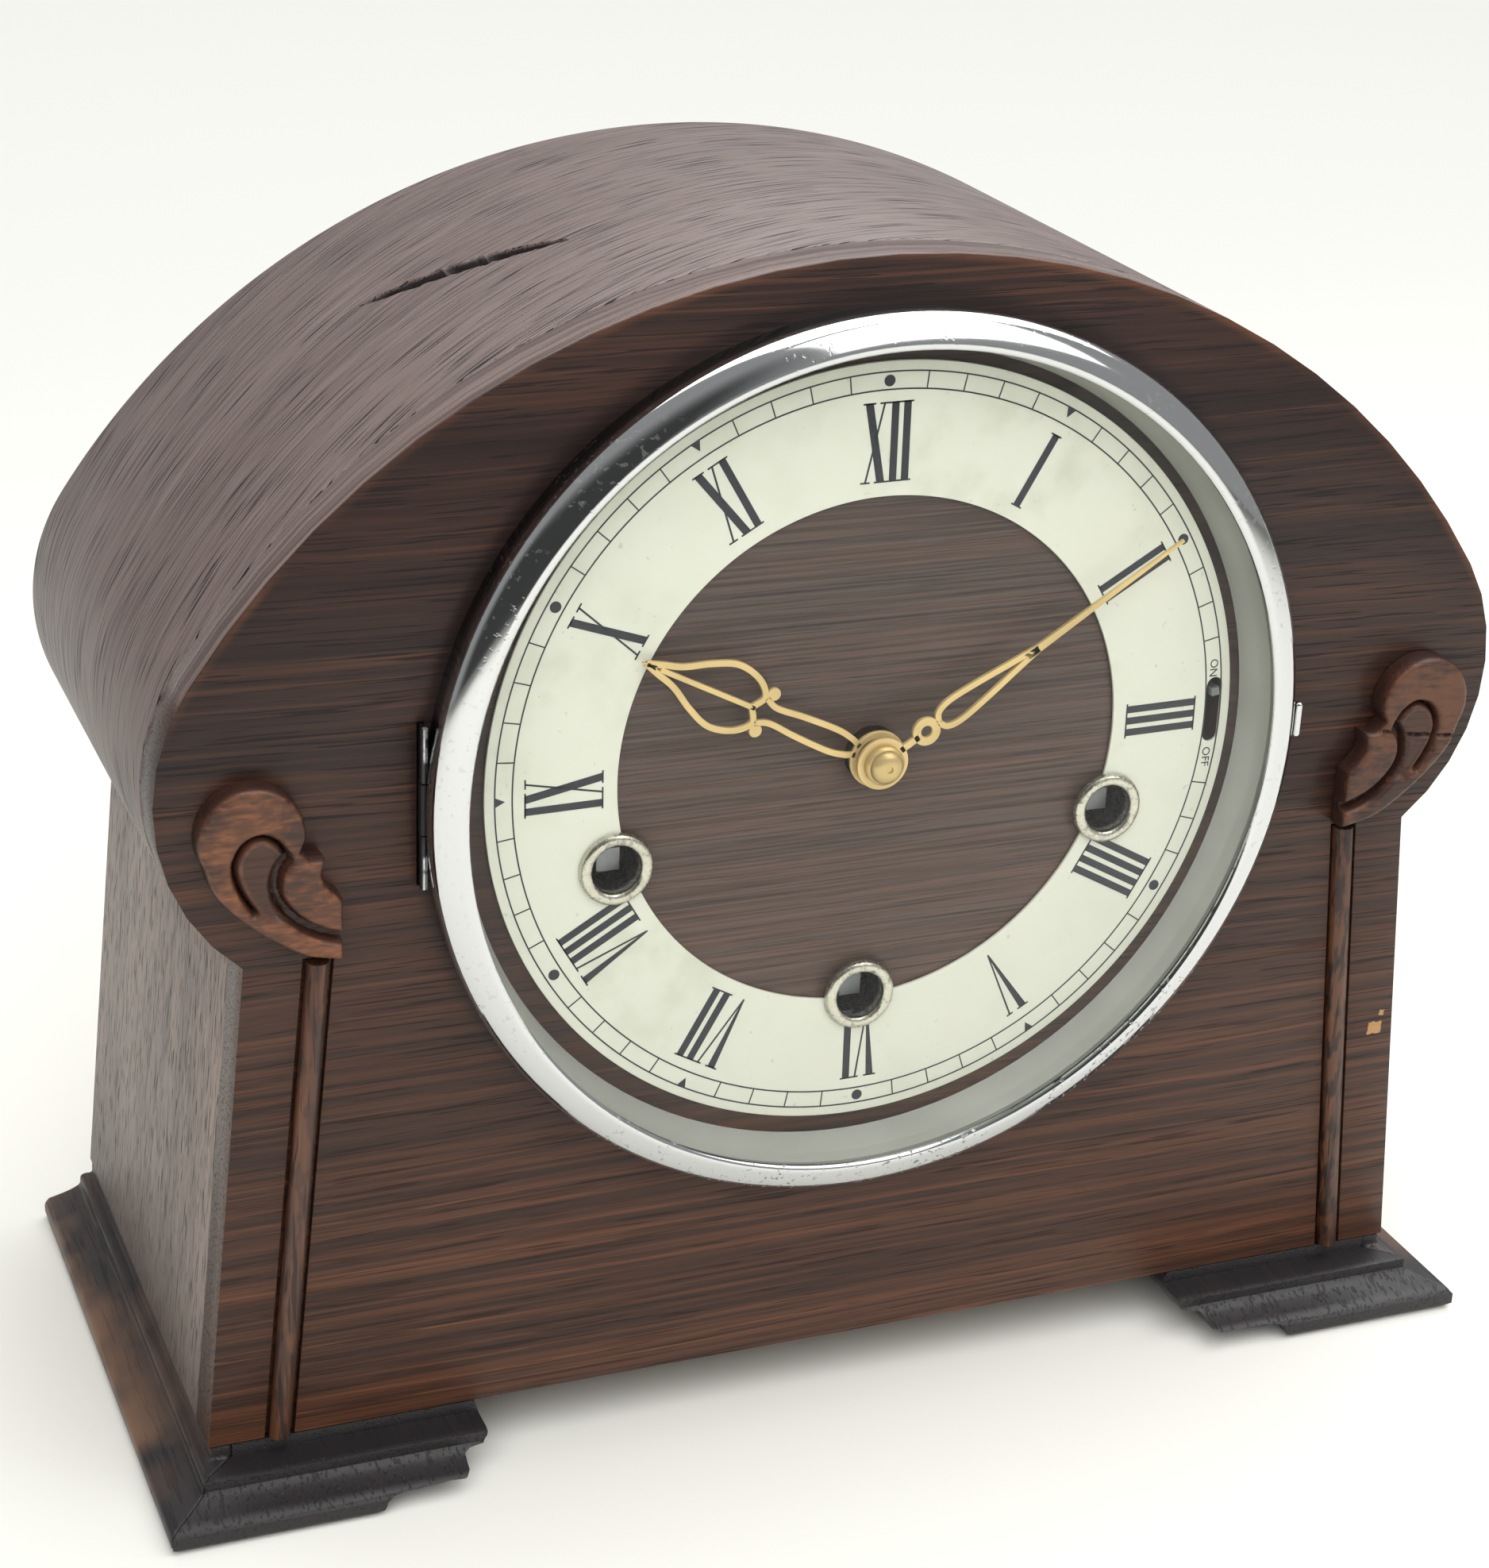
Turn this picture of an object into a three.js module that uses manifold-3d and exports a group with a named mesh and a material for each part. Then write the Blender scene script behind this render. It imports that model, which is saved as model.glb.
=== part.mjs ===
// Arched oak mantel clock: a three-train striking and chiming movement in a case that stands on a shelf.
// Millimetres, +Z up, the dial faces -Y. Pieces are placed in a case frame where y = 0 is the face of the
// front panel, z = 0 is the shelf and x = 0 is the middle; the group then moves to the middle of its box.
import * as THREE from 'three';
import { mergeVertices } from 'three/addons/utils/BufferGeometryUtils.js';
import Module from 'manifold-3d';

const wasm = await Module();
wasm.setup();

// Clearances
const SEAT_GAP = 0.3; // between pieces that seat on each other
const SHAFT_GAP = 0.4; // around a shaft in its hole
const HAND_GAP = 1.6; // between the dial, the hour hand and the minute hand

// Case
const CASE_WIDTH = 262; // across the shoulders
const CASE_HEIGHT = 227; // crown above the shelf
const CASE_DEPTH = 111; // front face to rear edge
const CASE_LIFT = 11.7; // underside above the shelf
const SHOULDER_RADIUS = 39;
const SHOULDER_HEIGHT = 138.5; // centres of the shoulder arcs
const NECK_ANGLE = 51.5; // degrees below level where a shoulder turns back into the side
const FOOT_WIDTH = 249.4; // across the front panel's foot
const PANEL_THICKNESS = 10;
const ARCH_THICKNESS = 6;
const SIDE_THICKNESS = 9;
const BASE_THICKNESS = 9;

// Plinth: side mouldings and the short front brackets that they are mitred to
const PLINTH_WIDTH = 269.4;
const PLINTH_FRONT = 14; // nose of the brackets ahead of the front face
const PLINTH_HEIGHT = 8.9;
const MOULDING_RUN = 8.9; // from the nose to the lip, level
const LIP_WIDTH = 1.2;
const LIP_HEIGHT = 2.2;
const NOSE_HEIGHT = 4.2;
const NOSE_ROUND = 1;
const RUNNER_DEPTH = 14; // how far mouldings and brackets reach under the case
const BRACKET_LENGTH = 61.5; // upper tier
const BRACKET_FOOT_LENGTH = 39; // lower tier, which stands on the shelf
const BRACKET_TIER = 3.8; // underside of the upper tier

// Applied carving and reeds
const SCROLL_THICKNESS = 5;
const SCROLL_LOBE_RADIUS = 9.4;
const SCROLL_LOBE_X = 115.2;
const SCROLL_LOBE_HEIGHT = 133.9;
const SCROLL_INNER_X = 99.6; // upright inner edge
const SCROLL_FOOT_HEIGHT = 109.5;
const REED_WIDTH = 4;
const REED_PROUD = 1.8;
const REED_INSET = 13.3; // from the panel's side edge to the middle of the reed
const REED_TOP_GAP = 1.8; // under the scroll
const GROOVE_DEPTH = 1.5;
const GROOVE_MARGIN = 0.8; // each side of the reed

// Back
const BACK_THICKNESS = 6;
const BACK_RECESS = 6; // rear face ahead of the case's rear edge
const DOOR_WIDTH = 150;
const DOOR_HEIGHT = 150;
const DOOR_BOTTOM = 33;
const DOOR_GAP = 1;
const NOTCH_RADIUS = 9; // finger notch in the door's free edge
const HINGE_HEIGHT = 60;
const HINGE_LEAF = 13;
const HINGE_LEAF_THICKNESS = 0.9;
const HINGE_KNUCKLE_RADIUS = 2.1;
const HINGE_PIN_RADIUS = 0.9;
const BUTTON_LENGTH = 24;
const BUTTON_WIDTH = 8;
const BUTTON_THICKNESS = 1.8;
const BUTTON_OFFSET = 7; // from the door opening to the pivot
const BUTTON_SCREW_RADIUS = 1.6;
const BUTTON_HEAD_SINK = 0.2;
const BUTTON_HEAD_RISE = 1;

// Dial
const DIAL_HEIGHT = 135.1;
const RING_OUTER_RADIUS = 73.5;
const RING_INNER_RADIUS = 49;
const RING_THICKNESS = 0.6;
const WINDING_SPREAD = 49; // left and right winding holes from the middle
const WINDING_DROP = 16.3; // left and right winding holes below the dial centre
const WINDING_LOWER_DROP = 48.3; // lower winding hole below the dial centre
const FERRULE_RADIUS = 7;
const FERRULE_TUBE_RADIUS = 5.8;
const FERRULE_BORE_RADIUS = 4.7;
const FERRULE_RIM = 1.1;
const FERRULE_DEPTH = 7; // tube behind the panel's face
const SLOT_RADIUS = 70;
const SLOT_LENGTH = 13;
const SLOT_WIDTH = 3.2;
const SLOT_LIFT = 1.2; // middle of the slot above the dial centre

// Bezel
const BEZEL_DEPTH = 10.8;
const BEZEL_WALL = 3.3; // straight wall on the panel
const BEZEL_WALL_DEPTH = 3;
const BEZEL_OVERHANG = 0.8; // rolled edge beyond the wall
const BEZEL_EDGE_DEPTH = 7.1; // where the rolled edge is widest
const BEZEL_ROLL_INSET = 0.3;
const BEZEL_ROLL_DROP = 1.4;
const BEZEL_LIP_COVER = 1.7; // lip over the rim of the glass
const BEZEL_LIP = 1;
const SIGHT_RADIUS = 79.2; // mouth of the sight ring, behind the glass
const SIGHT_TAPER = 2.7; // how much smaller its foot is, round the dial
const SIGHT_WALL = 0.9;
const GLASS_THICKNESS = 1.8;
const GLASS_RISE = 5.1; // crown of the glass ahead of its rim
const BEZEL_KNUCKLE_RADIUS = 0.7;
const BEZEL_PIN_RADIUS = 0.3;
const BEZEL_PIN_GAP = 0.1;
const BEZEL_HINGE_HEIGHT = 30;
const BEZEL_HINGE_STAND = 2.2; // hinge axis ahead of the panel
const BEZEL_LEAF_THICKNESS = 0.6;
const BEZEL_MORTISE_DEPTH = 4; // slot in the panel that takes the hinge leaf
const TAB_HEIGHT = 7;
const TAB_REACH = 1.4;
const TAB_THICKNESS = 1.6;

// Hands
const HOUR_HAND_LENGTH = 51.3;
const HOUR_HAND_ANGLE = 297; // degrees clockwise from twelve
const HOUR_BOSS_RADIUS = 5.4;
const MINUTE_HAND_LENGTH = 68.7;
const MINUTE_HAND_ANGLE = 57.1;
const MINUTE_BOSS_RADIUS = 5;
const HAND_THICKNESS = 0.8;
const STRAND_WIDTH = 1.25;
const NUT_RADIUS = 3.7;
const NUT_HEIGHT = 2.8;
const NUT_RIM = 1;
const NUT_SHOULDER = 2.2;
const NUT_BORE_DEPTH = 1.6;

// Movement plates
const MOVEMENT_STANDOFF = 12; // front panel to front plate
const PLATE_THICKNESS = 2;
const PLATE_SPACING = 40; // between the plates
const PLATE_WIDTH = 160;
const PLATE_RISE = 50; // plate above the dial centre
const PLATE_DROP = 89; // plate below the dial centre
const PLATE_CORNER = 12;
const PILLAR_RADIUS = 4;
const PILLAR_STUD_RADIUS = 2.5;
const PILLAR_INSET = 10; // from the plate's edges

// Trains
const TOOTH_ADDENDUM = 0.5; // of the module
const TOOTH_DEDENDUM = 0.9;
const WHEEL_THICKNESS = 1.5;
const PINION_LENGTH = 4;
const PIVOT_RADIUS = 1.1;
const WHEEL_TEETH = 42;
const PINION_LEAVES = 7;
const BARREL_RADIUS = 20;
const BARREL_LENGTH = 28;
const GREAT_WHEEL_RADIUS = 27; // lower barrel's pitch radius
const SIDE_WHEEL_RADIUS = 22.5; // left and right barrels' pitch radius
const SIDE_WHEEL_TEETH = 30;
const INTERMEDIATE_RADIUS = 24;
const CENTRE_RADIUS = 21.6;
const THIRD_RADIUS = 15;
const ESCAPE_RADIUS = 9.5;
const ESCAPE_TEETH = 30;
const ESCAPE_RISE = 26; // escape arbor above the dial centre
const ANCHOR_RISE = 15; // anchor arbor above the escape arbor
const PALLET_CLEARANCE = 1.6; // pallets stay off the escape wheel's tips
const ARBOR_RADIUS = 3;
const SQUARE_SIDE = 4.4;
const SQUARE_RECESS = 3; // end of the square behind the panel's face
const RATCHET_RADIUS = 8;
const RATCHET_TEETH = 12;

// Motion work
const CANNON_LEAVES = 10;
const MINUTE_WHEEL_TEETH = 30;
const HOUR_WHEEL_TEETH = 40;
const MOTION_CENTRES = 15; // cannon to minute wheel
const MINUTE_WHEEL_ANGLE = 135; // degrees from +X, seen from the front
const CANNON_WALL = 0.9;
const PIPE_WALL = 1.1;

// Chime and silent lever
const LEVER_REACH = 30; // pivot to tip
const LEVER_TRAVEL = 4; // tip either side of the slot's middle
const LEVER_WIDTH = 4.5;
const LEVER_THICKNESS = 1.2;
const LEVER_TIP = 1.7;

// Pendulum
const PENDULUM_SETBACK = 10; // rod behind the back plate
const PENDULUM_ROD_RADIUS = 1.2;
const PENDULUM_TAIL = 5; // rod below the bob
const BOB_RADIUS = 16;
const BOB_THICKNESS = 9;
const BOB_DROP = 104; // suspension to the middle of the bob
const STRIP_LENGTH = 9;
const STRIP_WIDTH = 4;
const STRIP_THICKNESS = 0.6;
const COCK_WIDTH = 12;
const COCK_HEIGHT = 6;
const CRUTCH_LENGTH = 27;
const CRUTCH_WIDTH = 2.6;

// Chime
const DRUM_RADIUS = 9;
const DRUM_LENGTH = 30;
const DRUM_TEETH = 25;
const DRUM_ANGLE = -72; // degrees from +X, right barrel to drum
const HAMMER_X = 42;
const HAMMER_RISE = 10; // pivot above the plates' lower edge
const HAMMER_REACH = 28;
const HAMMER_HEAD_RADIUS = 4.5;
const HAMMER_HEAD_LENGTH = 10;
const HAMMER_WIDTH = 4;
const HAMMER_LIFT = 2; // head above its rod
const ROD_RADIUS = 1.5;
const ROD_SHARE = 0.6; // rods' place between the base board and the plates
const ROD_LENGTH = 194;
const ROD_SPACING = 12;
const ROD_SEAT = 12; // length of rod inside the block
const BLOCK_WIDTH = 18;
const BLOCK_DEPTH = 30;
const BLOCK_HEIGHT = 23;

// Facets
const CROWN_STEPS = 26;
const SHOULDER_STEPS = 8;
const RING_STEPS = 48;
const TURNED_STEPS = 16;
const SHAFT_STEPS = 8;

// Sizes worked out from the ones above
const degrees = THREE.MathUtils.degToRad;
const shoulderX = CASE_WIDTH / 2 - SHOULDER_RADIUS;
const crownDrop = CASE_HEIGHT - SHOULDER_HEIGHT - SHOULDER_RADIUS;
const crownRadius = (shoulderX ** 2 + crownDrop ** 2) / (2 * crownDrop) + SHOULDER_RADIUS;
const crownHeight = CASE_HEIGHT - crownRadius;
const tangentAngle = Math.atan2(SHOULDER_HEIGHT - crownHeight, shoulderX);
const neckAngle = degrees(NECK_ANGLE);
const neckX = shoulderX + SHOULDER_RADIUS * Math.cos(neckAngle);
const neckHeight = SHOULDER_HEIGHT - SHOULDER_RADIUS * Math.sin(neckAngle);
const sideSlope = (FOOT_WIDTH / 2 - neckX) / (neckHeight - CASE_LIFT);
const sideAcross = SIDE_THICKNESS * Math.hypot(1, sideSlope);
const baseTop = CASE_LIFT + BASE_THICKNESS;
const backFront = CASE_DEPTH - BACK_RECESS - BACK_THICKNESS;
const backRear = CASE_DEPTH - BACK_RECESS;
const plateFront = PANEL_THICKNESS + MOVEMENT_STANDOFF;
const plateTop = DIAL_HEIGHT + PLATE_RISE;
const plateBottom = DIAL_HEIGHT - PLATE_DROP;
const trainFront = plateFront + PLATE_THICKNESS;
const trainRear = trainFront + PLATE_SPACING;
const plateRear = trainRear + PLATE_THICKNESS;
const ringFace = -SEAT_GAP - RING_THICKNESS;
const dialCentre = new THREE.Vector2(0, DIAL_HEIGHT);
const windingAxes = {
  left: new THREE.Vector2(-WINDING_SPREAD, DIAL_HEIGHT - WINDING_DROP),
  right: new THREE.Vector2(WINDING_SPREAD, DIAL_HEIGHT - WINDING_DROP),
  lower: new THREE.Vector2(0, DIAL_HEIGHT - WINDING_LOWER_DROP),
};

// Materials
function finish(color, roughness, metalness) {
  return new THREE.MeshStandardMaterial({ color, roughness, metalness });
}
const oak = finish(0x3b2018, 0.5, 0);
const darkOak = finish(0x1f1614, 0.45, 0);
const carvedOak = finish(0x7a4524, 0.5, 0);
const ply = finish(0x8a6a48, 0.7, 0);
const chrome = finish(0xd8dcdf, 0.12, 1);
const satin = finish(0x9a9f9c, 0.5, 1);
const silvered = finish(0xdad7c8, 0.45, 0.1);
const clear = finish(0xf2f6f6, 0.05, 0);
clear.transparent = true;
clear.opacity = 0.2;
const gilt = finish(0xc9a352, 0.3, 1);
const brass = finish(0xb08d4a, 0.35, 1);
const nickel = finish(0xb9b4a4, 0.3, 1);
const steel = finish(0x6d7175, 0.4, 1);
const iron = finish(0x2d2f31, 0.7, 0.6);

const clock = new THREE.Group();

// Closed geometry to a solid that can be joined and cut
function solid(geometry) {
  const bare = new THREE.BufferGeometry();
  bare.setAttribute('position', geometry.attributes.position);
  bare.setIndex(geometry.index);
  const merged = mergeVertices(bare);
  const triangles = [];
  for (let i = 0; i < merged.index.count; i += 3) {
    const corners = [0, 1, 2].map((k) => merged.index.getX(i + k));
    if (new Set(corners).size === 3) triangles.push(...corners);
  }
  const vertProperties = new Float32Array(merged.attributes.position.array);
  const mesh = new wasm.Mesh({ numProp: 3, vertProperties, triVerts: new Uint32Array(triangles) });
  return new wasm.Manifold(mesh);
}

function piece(name, body, material, parent = clock) {
  const { vertProperties, triVerts } = body.getMesh();
  const geometry = new THREE.BufferGeometry();
  geometry.setAttribute('position', new THREE.BufferAttribute(vertProperties, 3));
  geometry.setIndex(new THREE.BufferAttribute(triVerts, 1));
  geometry.computeVertexNormals();
  const mesh = new THREE.Mesh(geometry, material.clone());
  mesh.name = name;
  parent.add(mesh);
}

const at = (x, z) => new THREE.Vector2(x, z);
const outline = (points) => new THREE.Shape(points);
const mirrored = (points, side) => points.map((p) => at(p.x * side, p.y));
const join = (...bodies) => bodies.reduce((sum, body) => sum.add(body));

// Points on an arc about (x, z), angles in radians from +X
function arc(x, z, radius, from, to, steps) {
  const angles = Array.from({ length: steps + 1 }, (_, i) => from + ((to - from) * i) / steps);
  return angles.map((angle) => at(x + radius * Math.cos(angle), z + radius * Math.sin(angle)));
}

const circle = (centre, radius, steps) => arc(centre.x, centre.y, radius, 0, 2 * Math.PI, steps).slice(0, -1);

// Outline in x and z, extruded along +Y from its front face
function plate(shape, front, thickness, curveSegments = 8) {
  const geometry = new THREE.ExtrudeGeometry(shape, { depth: thickness, bevelEnabled: false, curveSegments });
  return solid(geometry.rotateX(Math.PI / 2).translate(0, front + thickness, 0));
}

function box(x0, x1, y0, y1, z0, z1) {
  const geometry = new THREE.BoxGeometry(x1 - x0, y1 - y0, z1 - z0);
  return solid(geometry.translate((x0 + x1) / 2, (y0 + y1) / 2, (z0 + z1) / 2));
}

// Profile of radius and distance, turned about an axis; it closes on itself or along the axis
function lathe(profile, steps) {
  const points = profile.map(([radius, along]) => new THREE.Vector2(radius, along));
  if (THREE.ShapeUtils.area(points) < 0) points.reverse();
  const onAxis = points[0].x === 0 && points[points.length - 1].x === 0;
  if (!onAxis) points.push(points[0].clone());
  return new THREE.LatheGeometry(points, steps);
}

function turned(profile, axis, steps = TURNED_STEPS) {
  return solid(lathe(profile, steps).translate(axis.x, 0, axis.y));
}
const shaft = (axis, radius, front, rear, steps = SHAFT_STEPS) =>
  turned([[0, front], [radius, front], [radius, rear], [0, rear]], axis, steps);
const tube = (axis, bore, radius, front, rear, steps = TURNED_STEPS) =>
  turned([[bore, front], [radius, front], [radius, rear], [bore, rear]], axis, steps);

// Upright post along +Z
function post(x, y, radius, bottom, top, steps = SHAFT_STEPS) {
  const geometry = lathe([[0, bottom], [radius, bottom], [radius, top], [0, top]], steps);
  return solid(geometry.rotateX(Math.PI / 2).translate(x, y, 0));
}

// Crown and both shoulders, from the right neck over the top to the left neck
function archPoints(drop) {
  const shoulder = SHOULDER_RADIUS - drop;
  const right = arc(shoulderX, SHOULDER_HEIGHT, shoulder, -neckAngle, tangentAngle, SHOULDER_STEPS);
  const crown = arc(0, crownHeight, crownRadius - drop, tangentAngle, Math.PI - tangentAngle, CROWN_STEPS);
  return [...right, ...crown.slice(1), ...mirrored(right, -1).reverse().slice(1)];
}

// Outer face of the side at a height
const sideX = (z) => neckX + sideSlope * (neckHeight - z);

// Front panel with the winding holes, the hands' hole, the lever slot and the reeds' grooves
const reedTop = SCROLL_FOOT_HEIGHT - REED_TOP_GAP;
const reedX = (z) => sideX(z) - REED_INSET;
const slotCentre = at(SLOT_RADIUS, DIAL_HEIGHT + SLOT_LIFT);
const leverAngle = Math.asin(LEVER_TRAVEL / LEVER_REACH);
const hourPipeRadius = PIVOT_RADIUS + CANNON_WALL + PIPE_WALL + 2 * SEAT_GAP;

function slotPoints(margin) {
  const halfLength = SLOT_LENGTH / 2 + margin;
  const halfWidth = SLOT_WIDTH / 2 + margin;
  const top = arc(slotCentre.x, slotCentre.y + halfLength - halfWidth, halfWidth, 0, Math.PI, 6);
  const bottom = arc(slotCentre.x, slotCentre.y - halfLength + halfWidth, halfWidth, Math.PI, 2 * Math.PI, 6);
  return [...top, ...bottom];
}

// Strip that leans with the case's side, between two heights
function leaningStrip(side, halfWidth, bottom, top) {
  const points = [
    at(reedX(bottom) - halfWidth, bottom),
    at(reedX(bottom) + halfWidth, bottom),
    at(reedX(top) + halfWidth, top),
    at(reedX(top) - halfWidth, top),
  ];
  return outline(mirrored(points, side));
}

// Places of the bezel and its hinge, which the panel is cut for
const sightOuter = SIGHT_RADIUS + SIGHT_WALL;
const bezelBore = sightOuter + SEAT_GAP;
const bezelFoot = bezelBore + BEZEL_WALL;
const bezelRadius = bezelFoot + BEZEL_OVERHANG;
const lipRadius = sightOuter - BEZEL_LIP_COVER;
const lipBack = -BEZEL_DEPTH + BEZEL_LIP;
const glassRear = lipBack + SEAT_GAP + GLASS_THICKNESS;
const bezelHingeX = -bezelFoot - BEZEL_KNUCKLE_RADIUS - SEAT_GAP;
const bezelHingeY = -BEZEL_HINGE_STAND;
const bezelThird = BEZEL_HINGE_HEIGHT / 3;
const bezelHingeBottom = DIAL_HEIGHT - BEZEL_HINGE_HEIGHT / 2;
const bezelHingeTop = bezelHingeBottom + BEZEL_HINGE_HEIGHT;

function frontPanel() {
  const foot = FOOT_WIDTH / 2;
  const shape = outline([at(-foot, CASE_LIFT), at(foot, CASE_LIFT), ...archPoints(0)]);
  const holeRadius = FERRULE_TUBE_RADIUS + SHAFT_GAP;
  const holes = Object.values(windingAxes).map((axis) => circle(axis, holeRadius, TURNED_STEPS));
  holes.push(circle(dialCentre, hourPipeRadius + HAND_GAP, TURNED_STEPS), slotPoints(SEAT_GAP));
  shape.holes = holes.map((points) => new THREE.Path(points));
  let panel = plate(shape, 0, PANEL_THICKNESS);
  for (const side of [-1, 1]) {
    const strip = leaningStrip(side, REED_WIDTH / 2 + GROOVE_MARGIN, CASE_LIFT - 1, reedTop + GROOVE_MARGIN);
    panel = panel.subtract(plate(strip, -1, GROOVE_DEPTH + 1));
  }
  const slotHalf = BEZEL_LEAF_THICKNESS / 2 + SEAT_GAP;
  const slotEnds = [bezelHingeBottom - SEAT_GAP, bezelHingeTop + SEAT_GAP];
  const mortise = box(bezelHingeX - slotHalf, bezelHingeX + slotHalf, -1, BEZEL_MORTISE_DEPTH, ...slotEnds);
  return panel.subtract(mortise);
}

piece('front_panel', frontPanel(), oak);
const shellFront = PANEL_THICKNESS + SEAT_GAP;
const shellDepth = CASE_DEPTH - shellFront;
const archShape = outline([...archPoints(0), ...archPoints(ARCH_THICKNESS).reverse()]);
piece('arch_board', plate(archShape, shellFront, shellDepth), oak);

// Side panel: its top follows the end of the arch board, which is cut toward the shoulder's centre
const seamDrop = at(-Math.sin(neckAngle), -Math.cos(neckAngle)).multiplyScalar(SEAT_GAP);
const seamLine = at(-Math.cos(neckAngle), Math.sin(neckAngle));
const seamLean = Math.cos(neckAngle) - sideSlope * Math.sin(neckAngle);
const seamStart = (sideSlope * seamDrop.y + seamDrop.x) / seamLean;
const seamOuter = at(neckX, neckHeight).add(seamDrop).addScaledVector(seamLine, seamStart);
const seamInner = at(neckX, neckHeight).add(seamDrop).addScaledVector(seamLine, ARCH_THICKNESS);

for (const [name, side] of [['left', -1], ['right', 1]]) {
  const corners = [
    seamOuter,
    seamInner,
    at(sideX(seamInner.y) - sideAcross, seamInner.y),
    at(sideX(CASE_LIFT) - sideAcross, CASE_LIFT),
    at(sideX(CASE_LIFT), CASE_LIFT),
  ];
  piece(`side_panel_${name}`, plate(outline(mirrored(corners, side)), shellFront, shellDepth), oak);
}

const baseHalfWidth = sideX(baseTop) - sideAcross - SEAT_GAP;
piece('base_board', box(-baseHalfWidth, baseHalfWidth, shellFront, backRear, CASE_LIFT, baseTop), ply);

// Reed: a half-round strip seated in its groove
function reed(side) {
  const strip = leaningStrip(side, REED_WIDTH / 2, CASE_LIFT, reedTop);
  const base = plate(strip, -REED_PROUD, REED_PROUD + GROOVE_DEPTH - SEAT_GAP);
  const halfWidth = REED_WIDTH / 2;
  const roundRadius = (halfWidth ** 2 + REED_PROUD ** 2) / (2 * REED_PROUD);
  const span = Math.asin(Math.min(1, halfWidth / roundRadius));
  const crown = arc(0, roundRadius - REED_PROUD, roundRadius, -Math.PI / 2 - span, -Math.PI / 2 + span, 8);
  const section = outline([...crown, at(halfWidth, GROOVE_DEPTH), at(-halfWidth, GROOVE_DEPTH)]);
  const length = reedTop - CASE_LIFT;
  const geometry = new THREE.ExtrudeGeometry(section, { depth: length, bevelEnabled: false });
  const lean = new THREE.Matrix4().makeShear(0, 0, 0, 0, -side * sideSlope, 0);
  geometry.applyMatrix4(lean).translate(side * reedX(CASE_LIFT), 0, CASE_LIFT);
  return base.intersect(solid(geometry));
}

// Carved scroll: a round lobe over a tail that ends at an upright inner edge
function scroll(side) {
  const inner = SCROLL_INNER_X;
  const foot = SCROLL_FOOT_HEIGHT;
  const lobe = arc(SCROLL_LOBE_X, SCROLL_LOBE_HEIGHT, SCROLL_LOBE_RADIUS, degrees(185), degrees(-28), 16);
  const tail = new THREE.SplineCurve([
    lobe[lobe.length - 1],
    at(inner + 22, foot + 14.6),
    at(inner + 16.6, foot + 8.6),
    at(inner + 10.8, foot + 4),
    at(inner + 6.2, foot + 1.4),
    at(inner, foot),
  ]);
  const hollow = new THREE.SplineCurve([
    at(inner, foot + 11.6),
    at(inner + 2, foot + 13.5),
    at(inner + 3.5, foot + 16),
    at(inner + 3, foot + 19.4),
  ]);
  const notch = [at(inner + 5.6, foot + 19.6), at(inner + 7.2, foot + 21.2)];
  const points = [...hollow.getPoints(6), ...notch, ...lobe, ...tail.getPoints(12).slice(1)];
  return plate(outline(mirrored(points, side)), -SEAT_GAP - SCROLL_THICKNESS, SCROLL_THICKNESS);
}

// Plinth moulding in distance behind the nose and height
function mouldingProfile(reach) {
  const lip = MOULDING_RUN - LIP_WIDTH;
  const cove = new THREE.QuadraticBezierCurve(
    at(NOSE_ROUND, NOSE_HEIGHT),
    at(lip - LIP_WIDTH, NOSE_HEIGHT + LIP_WIDTH),
    at(lip, PLINTH_HEIGHT - LIP_HEIGHT),
  );
  return [
    at(NOSE_ROUND, 0),
    at(0, NOSE_ROUND),
    at(0, NOSE_HEIGHT - NOSE_ROUND),
    ...cove.getPoints(6),
    at(lip, PLINTH_HEIGHT - SEAT_GAP),
    at(MOULDING_RUN, PLINTH_HEIGHT),
    at(reach, PLINTH_HEIGHT),
    at(reach, 0),
  ];
}

const plinthHalf = PLINTH_WIDTH / 2;
const sideReach = plinthHalf - FOOT_WIDTH / 2 + RUNNER_DEPTH;
const frontReach = PLINTH_FRONT + RUNNER_DEPTH;
const padTop = CASE_LIFT - SEAT_GAP;

// Half-space on one side of the corner's mitre, as a prism
function mitre(side, keepsSide) {
  const offset = (keepsSide ? 1 : -1) * (SEAT_GAP / 2);
  const margin = PLINTH_FRONT;
  const near = at(-plinthHalf - margin, -PLINTH_FRONT - margin + offset);
  const far = at(-plinthHalf + CASE_DEPTH, CASE_DEPTH - PLINTH_FRONT + offset);
  const third = keepsSide ? at(far.x, near.y) : at(near.x, far.y);
  const prism = new THREE.ExtrudeGeometry(outline(mirrored([near, far, third], -side)), {
    depth: 3 * CASE_LIFT,
    bevelEnabled: false,
  });
  return solid(prism.translate(0, 0, -CASE_LIFT));
}

function sideMoulding(side) {
  const profile = mouldingProfile(sideReach).map((p) => at(side * (plinthHalf - p.x), p.y));
  const strip = plate(outline(profile), -PLINTH_FRONT, PLINTH_FRONT + CASE_DEPTH);
  const edges = [FOOT_WIDTH / 2 - SEAT_GAP, FOOT_WIDTH / 2 - RUNNER_DEPTH].map((x) => side * x);
  const pad = box(Math.min(...edges), Math.max(...edges), SEAT_GAP, CASE_DEPTH, PLINTH_HEIGHT / 2, padTop);
  return strip.add(pad).subtract(mitre(side, true));
}

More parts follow.
